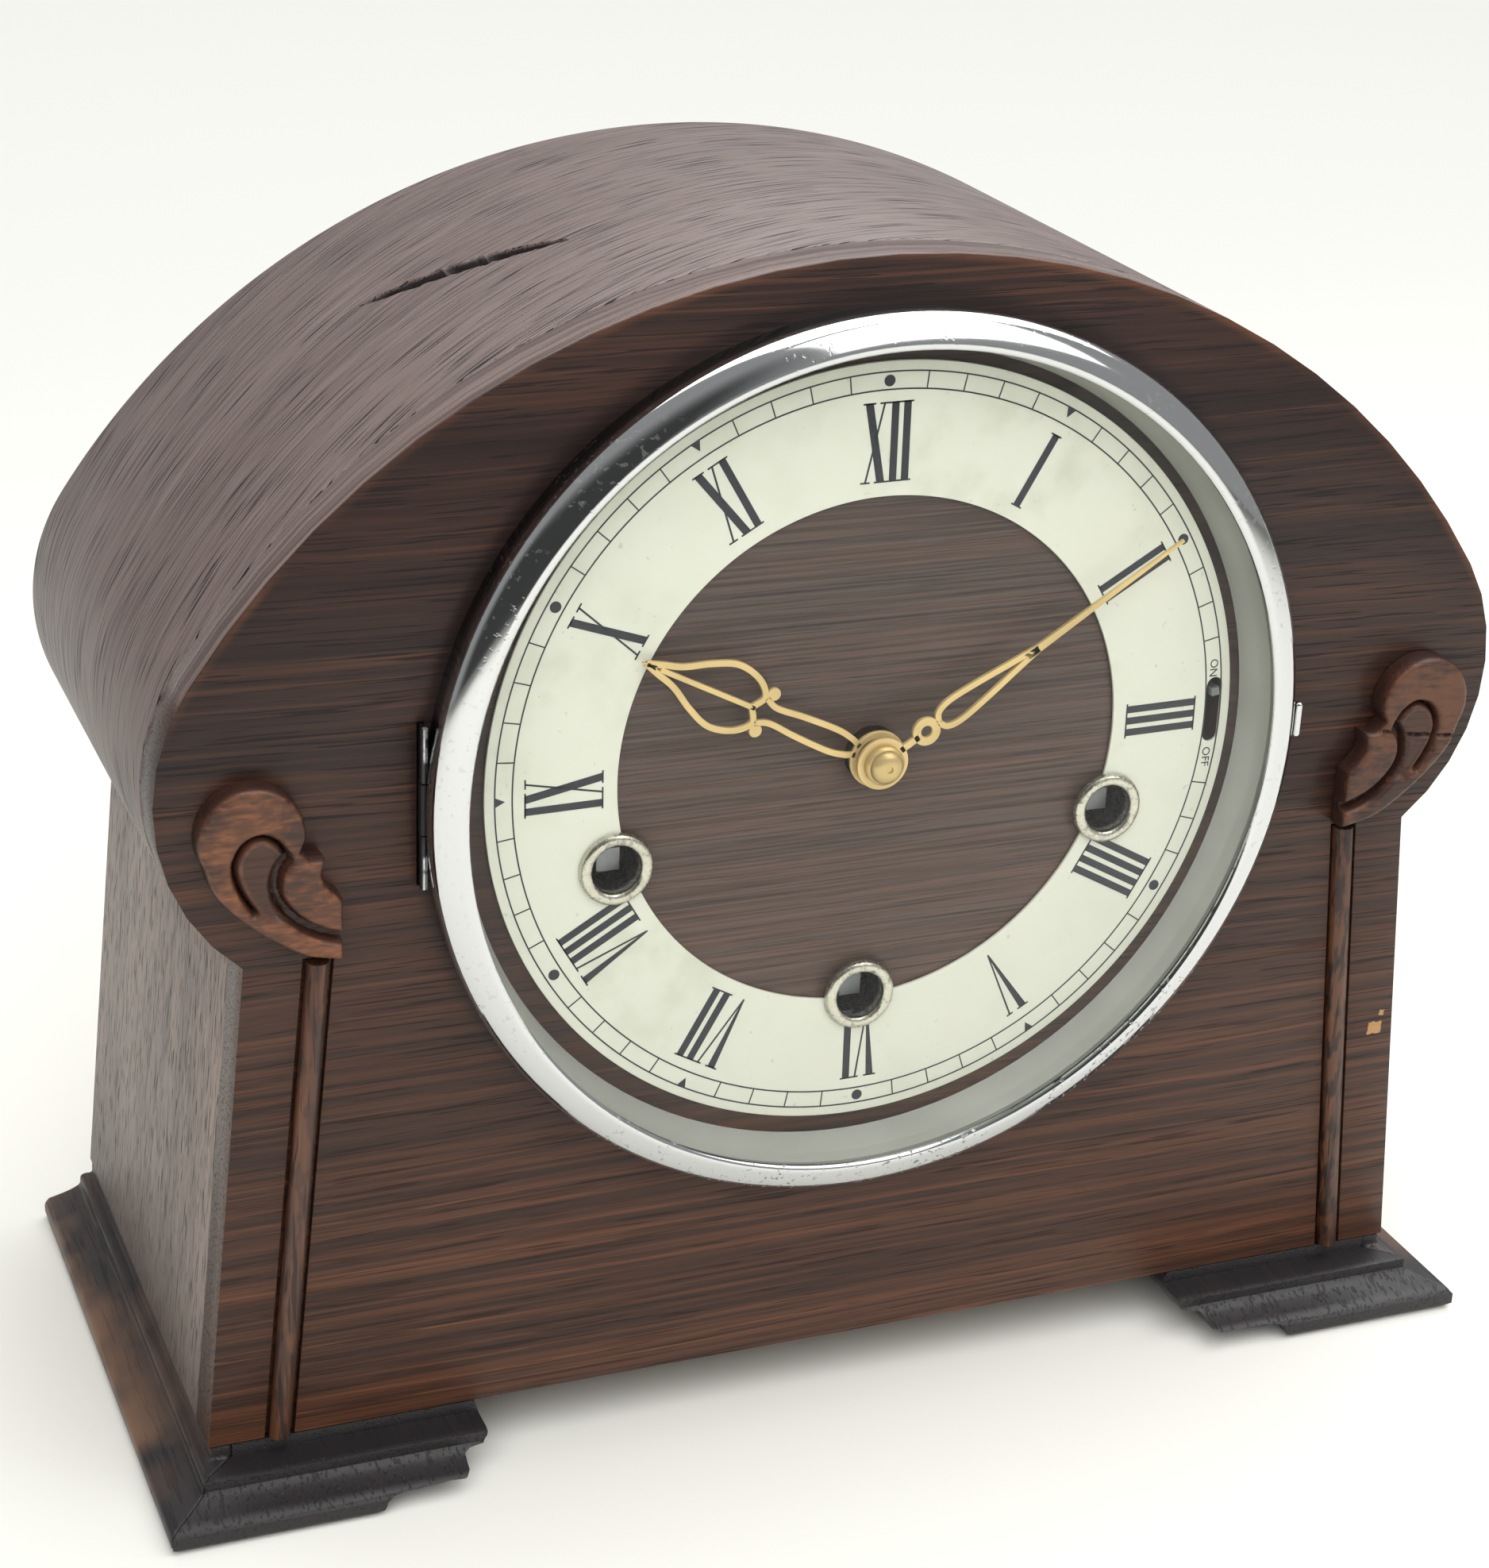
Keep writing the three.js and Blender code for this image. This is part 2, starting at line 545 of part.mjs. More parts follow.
// Bracket outline seen from the front, as distance from the plinth's end and height
function bracketElevation(side) {
  const foot = BRACKET_FOOT_LENGTH;
  const end = BRACKET_LENGTH;
  const tier = BRACKET_TIER;
  const rise = CASE_LIFT - tier;
  const footEnd = [
    at(foot - 0.3 * tier, 0),
    at(foot, 0.12 * tier),
    at(foot + 0.2 * tier, 0.4 * tier),
    at(foot + 0.28 * tier, 0.7 * tier),
    at(foot + 0.6 * tier, 0.93 * tier),
    at(foot + 1.1 * tier, tier),
  ];
  const notch = [
    at(end - 2.4 * tier, 1.08 * tier),
    at(end - 1.7 * tier, 1.05 * tier),
    at(end - 1.35 * tier, 1.2 * tier),
    at(end - 1.3 * tier, 1.5 * tier),
    at(end - tier, 1.62 * tier),
  ];
  const nose = [
    at(end - 0.25 * tier, tier + 0.33 * rise),
    at(end - 0.04 * tier, tier + 0.5 * rise),
    at(end, tier + 0.66 * rise),
    at(end - 0.1 * tier, tier + 0.84 * rise),
    at(end - 0.3 * tier, CASE_LIFT),
  ];
  const points = [at(0, 0), ...footEnd, ...notch, ...nose, at(0, CASE_LIFT)];
  return outline(points.map((p) => at(side * (plinthHalf - p.x), p.y)));
}

function frontBracket(side) {
  const profile = mouldingProfile(frontReach).map((p) => at(p.x - PLINTH_FRONT, p.y));
  const options = { depth: BRACKET_LENGTH, bevelEnabled: false };
  const geometry = new THREE.ExtrudeGeometry(outline(profile), options);
  const alongX = new THREE.Matrix4().makeBasis(
    new THREE.Vector3(0, 1, 0),
    new THREE.Vector3(0, 0, 1),
    new THREE.Vector3(1, 0, 0),
  );
  geometry.applyMatrix4(alongX).translate(side < 0 ? -plinthHalf : plinthHalf - BRACKET_LENGTH, 0, 0);
  const ends = [plinthHalf, plinthHalf - BRACKET_LENGTH].map((x) => side * x);
  const pad = box(Math.min(...ends), Math.max(...ends), SEAT_GAP, RUNNER_DEPTH, PLINTH_HEIGHT / 2, padTop);
  const front = plate(bracketElevation(side), -2 * PLINTH_FRONT, 2 * PLINTH_FRONT + 2 * RUNNER_DEPTH);
  return solid(geometry).add(pad).intersect(front).subtract(mitre(side, false));
}

for (const [name, side] of [['left', -1], ['right', 1]]) {
  piece(`moulding_${name}`, sideMoulding(side), darkOak);
  piece(`bracket_${name}`, frontBracket(side), darkOak);
  piece(`scroll_${name}`, scroll(side), carvedOak);
  piece(`reed_${name}`, reed(side), carvedOak);
}

// Back frame, set inside the shell and round the door
const doorTop = DOOR_BOTTOM + DOOR_HEIGHT;
const buttonAxis = at(-DOOR_WIDTH / 2 - BUTTON_OFFSET, DOOR_BOTTOM + DOOR_HEIGHT / 2);

function backFrame() {
  const drop = ARCH_THICKNESS + SEAT_GAP;
  const bottom = baseTop + SEAT_GAP;
  const innerX = (z) => sideX(z) - sideAcross - SEAT_GAP;
  const ledge = seamInner.y + SEAT_GAP;
  const start = Math.asin((SHOULDER_HEIGHT - ledge) / (SHOULDER_RADIUS - drop));
  const radius = SHOULDER_RADIUS - drop;
  const shoulder = arc(shoulderX, SHOULDER_HEIGHT, radius, -start, tangentAngle, SHOULDER_STEPS);
  const crown = arc(0, crownHeight, crownRadius - drop, tangentAngle, Math.PI - tangentAngle, CROWN_STEPS);
  const half = [at(innerX(bottom), bottom), at(innerX(ledge), ledge), ...shoulder];
  const shape = outline([...half, ...crown.slice(1, -1), ...mirrored(half, -1).reverse()]);
  const halfDoor = DOOR_WIDTH / 2;
  const sill = [at(-halfDoor, DOOR_BOTTOM), at(halfDoor, DOOR_BOTTOM)];
  const head = [at(halfDoor, doorTop), at(-halfDoor, doorTop)];
  const screwHole = circle(buttonAxis, BUTTON_SCREW_RADIUS + SHAFT_GAP, SHAFT_STEPS);
  shape.holes = [[...sill, ...head], screwHole].map((points) => new THREE.Path(points));
  return plate(shape, backFront, BACK_THICKNESS);
}

function backDoor() {
  const half = DOOR_WIDTH / 2 - DOOR_GAP;
  const bottom = DOOR_BOTTOM + DOOR_GAP;
  const top = doorTop - DOOR_GAP;
  const notchX = -half - NOTCH_RADIUS / 2;
  const notchZ = DOOR_BOTTOM + DOOR_HEIGHT / 4;
  const notch = arc(notchX, notchZ, NOTCH_RADIUS, degrees(60), degrees(-60), 8);
  const corners = [at(half, bottom), at(half, top), at(-half, top), ...notch, at(-half, bottom)];
  return plate(outline(corners), backFront, BACK_THICKNESS);
}

piece('back_frame', backFrame(), ply);
piece('back_door', backDoor(), ply);

// Door hinge: the frame's leaf holds the pin and the outer knuckles, the door's leaf the middle one
const hingeX = DOOR_WIDTH / 2 - DOOR_GAP / 2;
const hingeY = backRear + SEAT_GAP + HINGE_KNUCKLE_RADIUS;
const hingeBottom = DOOR_BOTTOM + (DOOR_HEIGHT - HINGE_HEIGHT) / 2;
const hingeThird = HINGE_HEIGHT / 3;

function hingeLeaf(direction) {
  const near = hingeX + direction * HINGE_KNUCKLE_RADIUS * 0.5;
  const far = hingeX + direction * HINGE_LEAF;
  const y0 = backRear + SEAT_GAP;
  const bottom = direction > 0 ? hingeBottom : hingeBottom + hingeThird + SEAT_GAP;
  const top = direction > 0 ? hingeBottom + HINGE_HEIGHT : hingeBottom + 2 * hingeThird - SEAT_GAP;
  return box(Math.min(near, far), Math.max(near, far), y0, y0 + HINGE_LEAF_THICKNESS, bottom, top);
}

function knuckleGap(bottom, top) {
  const reach = HINGE_KNUCKLE_RADIUS + SEAT_GAP;
  return box(hingeX - reach, hingeX + reach, hingeY - reach, hingeY + reach, bottom, top);
}

function frameLeaf() {
  const middle = [hingeBottom + hingeThird, hingeBottom + 2 * hingeThird];
  const ends = [hingeBottom, hingeBottom + HINGE_HEIGHT];
  const barrel = post(hingeX, hingeY, HINGE_KNUCKLE_RADIUS, ...ends, TURNED_STEPS / 2);
  const pin = post(hingeX, hingeY, HINGE_PIN_RADIUS, hingeBottom, hingeBottom + HINGE_HEIGHT);
  return barrel.add(hingeLeaf(1)).subtract(knuckleGap(...middle)).add(pin);
}

function doorLeaf() {
  const bottom = hingeBottom + hingeThird + SEAT_GAP;
  const top = hingeBottom + 2 * hingeThird - SEAT_GAP;
  const barrel = post(hingeX, hingeY, HINGE_KNUCKLE_RADIUS, bottom, top, TURNED_STEPS / 2);
  const bore = post(hingeX, hingeY, HINGE_PIN_RADIUS + SEAT_GAP, bottom - 1, top + 1);
  return barrel.add(hingeLeaf(-1)).subtract(bore);
}

piece('door_hinge_frame_leaf', frameLeaf(), brass);
piece('door_hinge_door_leaf', doorLeaf(), brass);

// Turn button, upright when the door is free
function turnButton() {
  const halfWidth = BUTTON_WIDTH / 2;
  const run = BUTTON_LENGTH / 2 - halfWidth;
  const top = arc(buttonAxis.x, buttonAxis.y + run, halfWidth, 0, Math.PI, 8);
  const bottom = arc(buttonAxis.x, buttonAxis.y - run, halfWidth, Math.PI, 2 * Math.PI, 8);
  const front = backRear + SEAT_GAP;
  const rear = front + BUTTON_THICKNESS;
  const under = rear - BUTTON_HEAD_SINK;
  const crown = rear + BUTTON_HEAD_RISE;
  const profile = [[0, under], [halfWidth * 0.8, under], [halfWidth * 0.5, crown], [0, crown]];
  const head = turned(profile, buttonAxis, SHAFT_STEPS);
  const screw = shaft(buttonAxis, BUTTON_SCREW_RADIUS, backFront + 1, rear - 0.1);
  return join(plate(outline([...top, ...bottom]), front, BUTTON_THICKNESS), head, screw);
}

piece('door_turn_button', turnButton(), brass);

// Chapter ring, notched for the ferrules and slotted for the lever
function chapterRing() {
  let ring = tube(dialCentre, RING_INNER_RADIUS, RING_OUTER_RADIUS, ringFace, -SEAT_GAP, RING_STEPS);
  for (const axis of Object.values(windingAxes)) {
    ring = ring.subtract(shaft(axis, FERRULE_TUBE_RADIUS + SHAFT_GAP, ringFace - 1, 1, TURNED_STEPS));
  }
  return ring.subtract(plate(outline(slotPoints(0)), ringFace - 1, RING_THICKNESS + 2));
}

function ferrule(axis) {
  const back = ringFace - SEAT_GAP;
  const face = back - FERRULE_RIM;
  const bevel = FERRULE_RIM / 2;
  return turned(
    [
      [FERRULE_BORE_RADIUS, FERRULE_DEPTH],
      [FERRULE_BORE_RADIUS, face + bevel],
      [FERRULE_BORE_RADIUS + bevel, face],
      [FERRULE_RADIUS - bevel, face],
      [FERRULE_RADIUS, face + bevel],
      [FERRULE_RADIUS, back],
      [FERRULE_TUBE_RADIUS, back],
      [FERRULE_TUBE_RADIUS, FERRULE_DEPTH],
    ],
    axis,
  );
}

piece('chapter_ring', chapterRing(), silvered);
for (const [name, axis] of Object.entries(windingAxes)) piece(`ferrule_${name}`, ferrule(axis), nickel);

// Bezel: straight wall, rolled front, a lip in front of the glass and a lug for its hinge
function bezelRing() {
  const flare = new THREE.QuadraticBezierCurve(
    at(bezelFoot, -BEZEL_WALL_DEPTH),
    at(bezelRadius, -BEZEL_WALL_DEPTH - BEZEL_ROLL_INSET),
    at(bezelRadius, -BEZEL_EDGE_DEPTH),
  );
  const roll = new THREE.QuadraticBezierCurve(
    at(bezelRadius, -BEZEL_EDGE_DEPTH),
    at(bezelRadius - BEZEL_ROLL_INSET, -BEZEL_DEPTH + BEZEL_ROLL_DROP),
    at(lipRadius + BEZEL_LIP, -BEZEL_DEPTH),
  );
  const front = [...flare.getPoints(3), ...roll.getPoints(4).slice(1)].map((p) => [p.x, p.y]);
  const profile = [
    [bezelFoot, -SEAT_GAP],
    ...front,
    [lipRadius, -BEZEL_DEPTH + BEZEL_LIP / 2],
    [lipRadius, lipBack],
    [bezelBore, lipBack],
    [bezelBore, -SEAT_GAP],
  ];
  const bottom = bezelHingeBottom + bezelThird + SEAT_GAP;
  const top = bezelHingeTop - bezelThird - SEAT_GAP;
  const wallY = [bezelHingeY - BEZEL_KNUCKLE_RADIUS / 2, bezelHingeY + BEZEL_KNUCKLE_RADIUS / 2];
  const arm = box(bezelHingeX, -bezelFoot + BEZEL_WALL / 2, ...wallY, bottom, top);
  const knuckle = post(bezelHingeX, bezelHingeY, BEZEL_KNUCKLE_RADIUS, bottom, top);
  const bore = post(bezelHingeX, bezelHingeY, BEZEL_PIN_RADIUS + BEZEL_PIN_GAP, bottom - 1, top + 1);
  return join(turned(profile, dialCentre, RING_STEPS), arm, knuckle).subtract(bore);
}

// Fixed half of the bezel hinge: a leaf let into the panel, two knuckles and the pin
function bezelHingePlate() {
  const ends = [bezelHingeBottom, bezelHingeTop];
  const half = BEZEL_LEAF_THICKNESS / 2;
  const leafEnd = BEZEL_MORTISE_DEPTH - SEAT_GAP;
  const leaf = box(bezelHingeX - half, bezelHingeX + half, bezelHingeY, leafEnd, ...ends);
  const barrel = post(bezelHingeX, bezelHingeY, BEZEL_KNUCKLE_RADIUS, ...ends);
  const reach = BEZEL_KNUCKLE_RADIUS + SEAT_GAP;
  const gapEnds = [bezelHingeBottom + bezelThird, bezelHingeTop - bezelThird];
  const gap = box(bezelHingeX - reach, bezelHingeX + reach, bezelHingeY - reach, 0, ...gapEnds);
  const pin = post(bezelHingeX, bezelHingeY, BEZEL_PIN_RADIUS, ...ends);
  return barrel.add(leaf).subtract(gap).add(pin);
}

// Convex glass: a flat rim behind the lip and a crown through it
function bezelGlass() {
  const rimFront = lipBack + SEAT_GAP;
  const crownEdge = lipRadius - SEAT_GAP;
  const crown = [0, 0.4, 0.72, 1].map((t) => [crownEdge * t, rimFront - GLASS_RISE * (1 - t * t)]);
  const inner = crown.map(([radius, y]) => [radius, y + GLASS_THICKNESS]).reverse();
  const profile = [...crown, [sightOuter, rimFront], [sightOuter, glassRear], ...inner];
  return turned(profile, dialCentre, RING_STEPS / 2);
}

// Sight ring: straight outside, and inside a slope from the glass down to the dial
function sightRing() {
  const mouth = glassRear + SEAT_GAP;
  const profile = [
    [SIGHT_RADIUS, mouth],
    [sightOuter, mouth],
    [sightOuter, -SEAT_GAP],
    [SIGHT_RADIUS - SIGHT_TAPER, -SEAT_GAP],
  ];
  return turned(profile, dialCentre, RING_STEPS);
}

function openingTab() {
  const start = bezelRadius + SEAT_GAP;
  const bottom = DIAL_HEIGHT - TAB_HEIGHT / 2;
  const faces = [-BEZEL_EDGE_DEPTH - TAB_THICKNESS / 2, -BEZEL_EDGE_DEPTH + TAB_THICKNESS / 2];
  return box(start, start + TAB_REACH, ...faces, bottom, bottom + TAB_HEIGHT);
}

piece('bezel_ring', bezelRing(), chrome);
piece('sight_ring', sightRing(), satin);
piece('bezel_glass', bezelGlass(), clear);
piece('bezel_hinge_plate', bezelHingePlate(), chrome);
piece('bezel_tab', openingTab(), chrome);

// Hands, drawn pointing up from the origin and then turned to the time
const cannonBore = PIVOT_RADIUS + SEAT_GAP;
const cannonRadius = cannonBore + CANNON_WALL;
const pipeBore = cannonRadius + SEAT_GAP;
const hourFront = ringFace - HAND_GAP - HAND_THICKNESS;
const minuteFront = hourFront - HAND_GAP - HAND_THICKNESS;
const nutBack = minuteFront - SEAT_GAP;

// Ribbon of even width along a curve through points
function strand(points, width, front, steps = 8) {
  const path = new THREE.SplineCurve(points);
  const sides = [1, -1].map((sign) =>
    Array.from({ length: steps + 1 }, (_, i) => {
      const tangent = path.getTangent(i / steps);
      return path.getPoint(i / steps).add(at(-tangent.y, tangent.x).multiplyScalar((sign * width) / 2));
    }),
  );
  return plate(outline([...sides[0], ...sides[1].reverse()]), front, HAND_THICKNESS);
}

function disc(centre, radius, front) {
  return plate(outline(circle(centre, radius, TURNED_STEPS)), front, HAND_THICKNESS);
}
const origin = at(0, 0);

function hourHand(front) {
  const tip = HOUR_HAND_LENGTH;
  const share = tip / 50;
  const drawn = (points, side) => points.map(([x, z]) => at(x * side * share, z * share));
  const bar = strand(drawn([[0, 26.6], [0, 46.2]], 1), STRAND_WIDTH * 0.8, front, 1);
  const parts = [disc(origin, HOUR_BOSS_RADIUS, front), bar];
  const heart = [[0, 48.8], [1.3, 43.7], [4.5, 37.8], [6.1, 33.1], [5, 28.6], [2.5, 25.9], [0, 27.4]];
  const stem = [[2.4, 25.4], [1.5, 22.7], [2, 14.9], [2.1, 9.1], [1.2, 4.3]];
  for (const side of [-1, 1]) {
    parts.push(strand(drawn(heart, side), STRAND_WIDTH, front, 12));
    parts.push(strand(drawn(stem, side), STRAND_WIDTH, front, 6));
    parts.push(disc(drawn([[3.6, 24.5]], side)[0], STRAND_WIDTH, front));
  }
  const bore = shaft(origin, hourPipeRadius + SEAT_GAP, front - 1, front + HAND_THICKNESS + 1, TURNED_STEPS);
  return join(...parts).subtract(bore);
}

function minuteHand(front) {
  const tip = MINUTE_HAND_LENGTH;
  const share = tip / 50;
  const drawn = (points, side) => points.map(([x, z]) => at(x * side * share, z * share));
  const ring = at(0, 7.2 * share);
  const needle = [...drawn([[0.65, 23.5], [0.25, 50]], 1), ...drawn([[0.25, 50], [0.65, 23.5]], -1)];
  const parts = [
    disc(origin, MINUTE_BOSS_RADIUS, front),
    strand(drawn([[0, 2.9], [0, 5.8]], 1), STRAND_WIDTH, front, 1),
    disc(ring, 2 * share, front),
    plate(outline(needle), front, HAND_THICKNESS),
  ];
  const loop = [[0, 9.3], [1.4, 10.2], [1.75, 12.4], [1.2, 17.5], [0.15, 25]];
  for (const side of [-1, 1]) parts.push(strand(drawn(loop, side), STRAND_WIDTH, front));
  const through = [front - 1, front + HAND_THICKNESS + 1];
  return join(...parts)
    .subtract(shaft(ring, 0.75 * share, ...through))
    .subtract(shaft(origin, cannonRadius + SEAT_GAP, ...through, TURNED_STEPS));
}

// Group on the dial axis, turned clockwise by an angle in degrees
function onDialAxis(angle) {
  const group = new THREE.Group();
  group.position.z = DIAL_HEIGHT;
  group.rotation.y = degrees(angle);
  clock.add(group);
  return group;
}

function handNut() {
  const waist = NUT_RADIUS * 0.8;
  const cap = nutBack - NUT_HEIGHT;
  const rim = [[0, nutBack], [NUT_RADIUS, nutBack], [NUT_RADIUS, nutBack - NUT_RIM]];
  const dome = [[waist, nutBack - NUT_SHOULDER], [waist / 2, cap], [0, cap]];
  const bore = shaft(dialCentre, cannonRadius + SEAT_GAP, nutBack - NUT_BORE_DEPTH, nutBack + 1);
  return turned([...rim, ...dome], dialCentre, TURNED_STEPS).subtract(bore);
}

piece('hour_hand', hourHand(hourFront), gilt, onDialAxis(HOUR_HAND_ANGLE));
piece('minute_hand', minuteHand(minuteFront), gilt, onDialAxis(MINUTE_HAND_ANGLE));
piece('hand_nut', handNut(), brass);

// Toothed wheels: a tooth points along the phase angle, in radians from +X seen from the front
function gearPoints(centre, teeth, radius, phase) {
  const module = (2 * radius) / teeth;
  const tip = radius + TOOTH_ADDENDUM * module;
  const root = radius - TOOTH_DEDENDUM * module;
  const pitch = (2 * Math.PI) / teeth;
  const corners = [[root, -0.28], [tip, 0], [root, 0.28]];
  const points = [];
  for (let i = 0; i < teeth; i += 1) {
    for (const [r, share] of corners) {
      const angle = phase + pitch * (i + share);
      points.push(at(centre.x + r * Math.cos(angle), centre.y + r * Math.sin(angle)));
    }
  }
  return points;
}

const gear = (centre, teeth, radius, phase, front, thickness) =>
  plate(outline(gearPoints(centre, teeth, radius, phase)), front, thickness);
const toward = (from, to) => Math.atan2(to.y - from.y, to.x - from.x);
const halfTooth = (teeth) => Math.PI / teeth;

// Point at two given distances from two axes, to one side of the line between them
function between(a, fromA, b, fromB, side) {
  const span = a.distanceTo(b);
  const along = (span ** 2 + fromA ** 2 - fromB ** 2) / (2 * span);
  const aside = side * Math.sqrt(fromA ** 2 - along ** 2);
  const unit = b.clone().sub(a).divideScalar(span);
  return at(a.x + unit.x * along - unit.y * aside, a.y + unit.y * along + unit.x * aside);
}

const leafRatio = PINION_LEAVES / WHEEL_TEETH;
const intermediatePinion = GREAT_WHEEL_RADIUS * leafRatio;
const centrePinion = INTERMEDIATE_RADIUS * leafRatio;
const thirdPinion = CENTRE_RADIUS * leafRatio;
const escapePinion = THIRD_RADIUS * leafRatio;
const lowerAxis = windingAxes.lower;
const escapeAxis = at(0, DIAL_HEIGHT + ESCAPE_RISE);
const anchorAxis = at(0, DIAL_HEIGHT + ESCAPE_RISE + ANCHOR_RISE);
const intermediateAxis = between(
  lowerAxis,
  GREAT_WHEEL_RADIUS + intermediatePinion,
  dialCentre,
  INTERMEDIATE_RADIUS + centrePinion,
  -1,
);
const thirdReach = CENTRE_RADIUS + thirdPinion;
const thirdAxis = between(dialCentre, thirdReach, escapeAxis, THIRD_RADIUS + escapePinion, 1);
const minuteWheelAxis = at(
  MOTION_CENTRES * Math.cos(degrees(MINUTE_WHEEL_ANGLE)),
  DIAL_HEIGHT + MOTION_CENTRES * Math.sin(degrees(MINUTE_WHEEL_ANGLE)),
);
const drumWheel = (SIDE_WHEEL_RADIUS * DRUM_TEETH) / SIDE_WHEEL_TEETH;
const drumCentres = SIDE_WHEEL_RADIUS + drumWheel;
const drumAxis = at(
  windingAxes.right.x + drumCentres * Math.cos(degrees(DRUM_ANGLE)),
  windingAxes.right.y + drumCentres * Math.sin(degrees(DRUM_ANGLE)),
);
const hammerAxis = at(HAMMER_X, plateBottom + HAMMER_RISE);
const rodHeight = baseTop + ROD_SHARE * (plateBottom - baseTop);
const leverPivot = at(SLOT_RADIUS - LEVER_REACH, slotCentre.y);

// Plates and pillars
const pillarX = PLATE_WIDTH / 2 - PILLAR_INSET;
const pillarAxes = [
  at(-pillarX, plateBottom + PILLAR_INSET),
  at(pillarX, plateBottom + PILLAR_INSET),
  at(-pillarX, plateTop - PILLAR_INSET),
  at(pillarX, plateTop - PILLAR_INSET),
];
const trainAxes = [dialCentre, intermediateAxis, thirdAxis, escapeAxis, anchorAxis, drumAxis];

function movementPlate(front, extraHoles) {
  const half = PLATE_WIDTH / 2;
  const right = [
    at(half - PLATE_CORNER, plateBottom),
    at(half, plateBottom + PLATE_CORNER),
    at(half, plateTop - PLATE_CORNER),
    at(half - PLATE_CORNER, plateTop),
  ];
  const shape = outline([...right, ...mirrored(right, -1).reverse()]);
  const holes = [
    ...pillarAxes.map((axis) => [axis, PILLAR_STUD_RADIUS]),
    ...trainAxes.map((axis) => [axis, PIVOT_RADIUS]),
    ...extraHoles,
  ];
  shape.holes = holes.map(([axis, radius]) => new THREE.Path(circle(axis, radius + SHAFT_GAP, SHAFT_STEPS)));
  return plate(shape, front, PLATE_THICKNESS);
}

const arborHoles = Object.values(windingAxes).map((axis) => [axis, ARBOR_RADIUS]);
const arborPivots = Object.values(windingAxes).map((axis) => [axis, ARBOR_RADIUS - SHAFT_GAP]);
const frontPivots = [minuteWheelAxis, leverPivot, hammerAxis].map((axis) => [axis, PIVOT_RADIUS]);
const frontHoles = [...arborHoles, ...frontPivots];
const hammerStud = shaft(hammerAxis, PIVOT_RADIUS, plateFront + SEAT_GAP, trainRear + 1);

piece('front_plate', movementPlate(plateFront, frontHoles), brass);
piece('back_plate', movementPlate(trainRear, arborPivots).add(hammerStud), brass);
pillarAxes.forEach((axis, i) => {
  const shoulder = [trainFront + SEAT_GAP, trainRear - SEAT_GAP];
  const nut = [plateRear + SEAT_GAP, plateRear + SEAT_GAP + PLATE_THICKNESS];
  const profile = [
    [0, PANEL_THICKNESS + SEAT_GAP],
    [PILLAR_STUD_RADIUS, PANEL_THICKNESS + SEAT_GAP],
    [PILLAR_STUD_RADIUS, shoulder[0]],
    [PILLAR_RADIUS, shoulder[0]],
    [PILLAR_RADIUS, shoulder[1]],
    [PILLAR_STUD_RADIUS, shoulder[1]],
    [PILLAR_STUD_RADIUS, nut[0]],
    [PILLAR_RADIUS, nut[0]],
    [PILLAR_RADIUS, nut[1]],
    [0, nut[1]],
  ];
  piece(`pillar_${i + 1}`, turned(profile, axis, SHAFT_STEPS), steel);
});

// Arbor of a train wheel, from plate to plate
const trainArbor = (axis) => shaft(axis, PIVOT_RADIUS, plateFront + SEAT_GAP, plateRear - SEAT_GAP);

// Barrels and winding arbors
const barrelFront = trainFront + PINION_LENGTH;
const barrelRear = barrelFront + BARREL_LENGTH;
const lowerWheelFront = barrelRear - 2 * WHEEL_THICKNESS;

function barrel(axis, teeth, radius, phase, wheelFront) {
  const drum = shaft(axis, BARREL_RADIUS, barrelFront, barrelRear, TURNED_STEPS);
  const wheel = gear(axis, teeth, radius, phase, wheelFront, 2 * WHEEL_THICKNESS - SEAT_GAP);
  const bore = shaft(axis, ARBOR_RADIUS + SHAFT_GAP, barrelFront - 1, barrelRear + 1);
  return drum.add(wheel).subtract(bore);
}

function windingArbor(axis) {
  const ratchetRear = plateFront - SEAT_GAP;
  const ratchetFront = ratchetRear - WHEEL_THICKNESS;
  const half = SQUARE_SIDE / 2;
  const sides = [axis.x - half, axis.x + half];
  const square = box(...sides, SQUARE_RECESS, ratchetRear - 0.1, axis.y - half, axis.y + half);
  const saw = [];
  for (let i = 0; i < RATCHET_TEETH; i += 1) {
    const angle = (2 * Math.PI * i) / RATCHET_TEETH;
    for (const radius of [RATCHET_RADIUS, RATCHET_RADIUS - 1.4]) {
      saw.push(at(axis.x + radius * Math.cos(angle), axis.y + radius * Math.sin(angle)));
    }
  }
  const turn = (2 * Math.PI) / RATCHET_TEETH;
  const ratchet = saw.map((p, i) => (i % 2 ? p.clone().rotateAround(axis, turn * 0.15) : p));
  const body = shaft(axis, ARBOR_RADIUS, ratchetFront + 0.2, trainRear - SEAT_GAP);
  const pivot = shaft(axis, ARBOR_RADIUS - SHAFT_GAP - SEAT_GAP, trainRear - 1, plateRear);
  return join(plate(outline(ratchet), ratchetFront, WHEEL_THICKNESS), square, body, pivot);
}

const lowerPhase = toward(lowerAxis, intermediateAxis);
const drumPhase = toward(windingAxes.right, drumAxis);
const sideWheelFront = barrelFront;
piece('barrel_lower', barrel(lowerAxis, WHEEL_TEETH, GREAT_WHEEL_RADIUS, lowerPhase, lowerWheelFront), brass);
piece('barrel_left', barrel(windingAxes.left, SIDE_WHEEL_TEETH, SIDE_WHEEL_RADIUS, 0, sideWheelFront), brass);
const rightWheel = [SIDE_WHEEL_TEETH, SIDE_WHEEL_RADIUS, drumPhase];
piece('barrel_right', barrel(windingAxes.right, ...rightWheel, sideWheelFront), brass);
for (const [name, axis] of Object.entries(windingAxes)) {
  piece(`winding_arbor_${name}`, windingArbor(axis), steel);
}

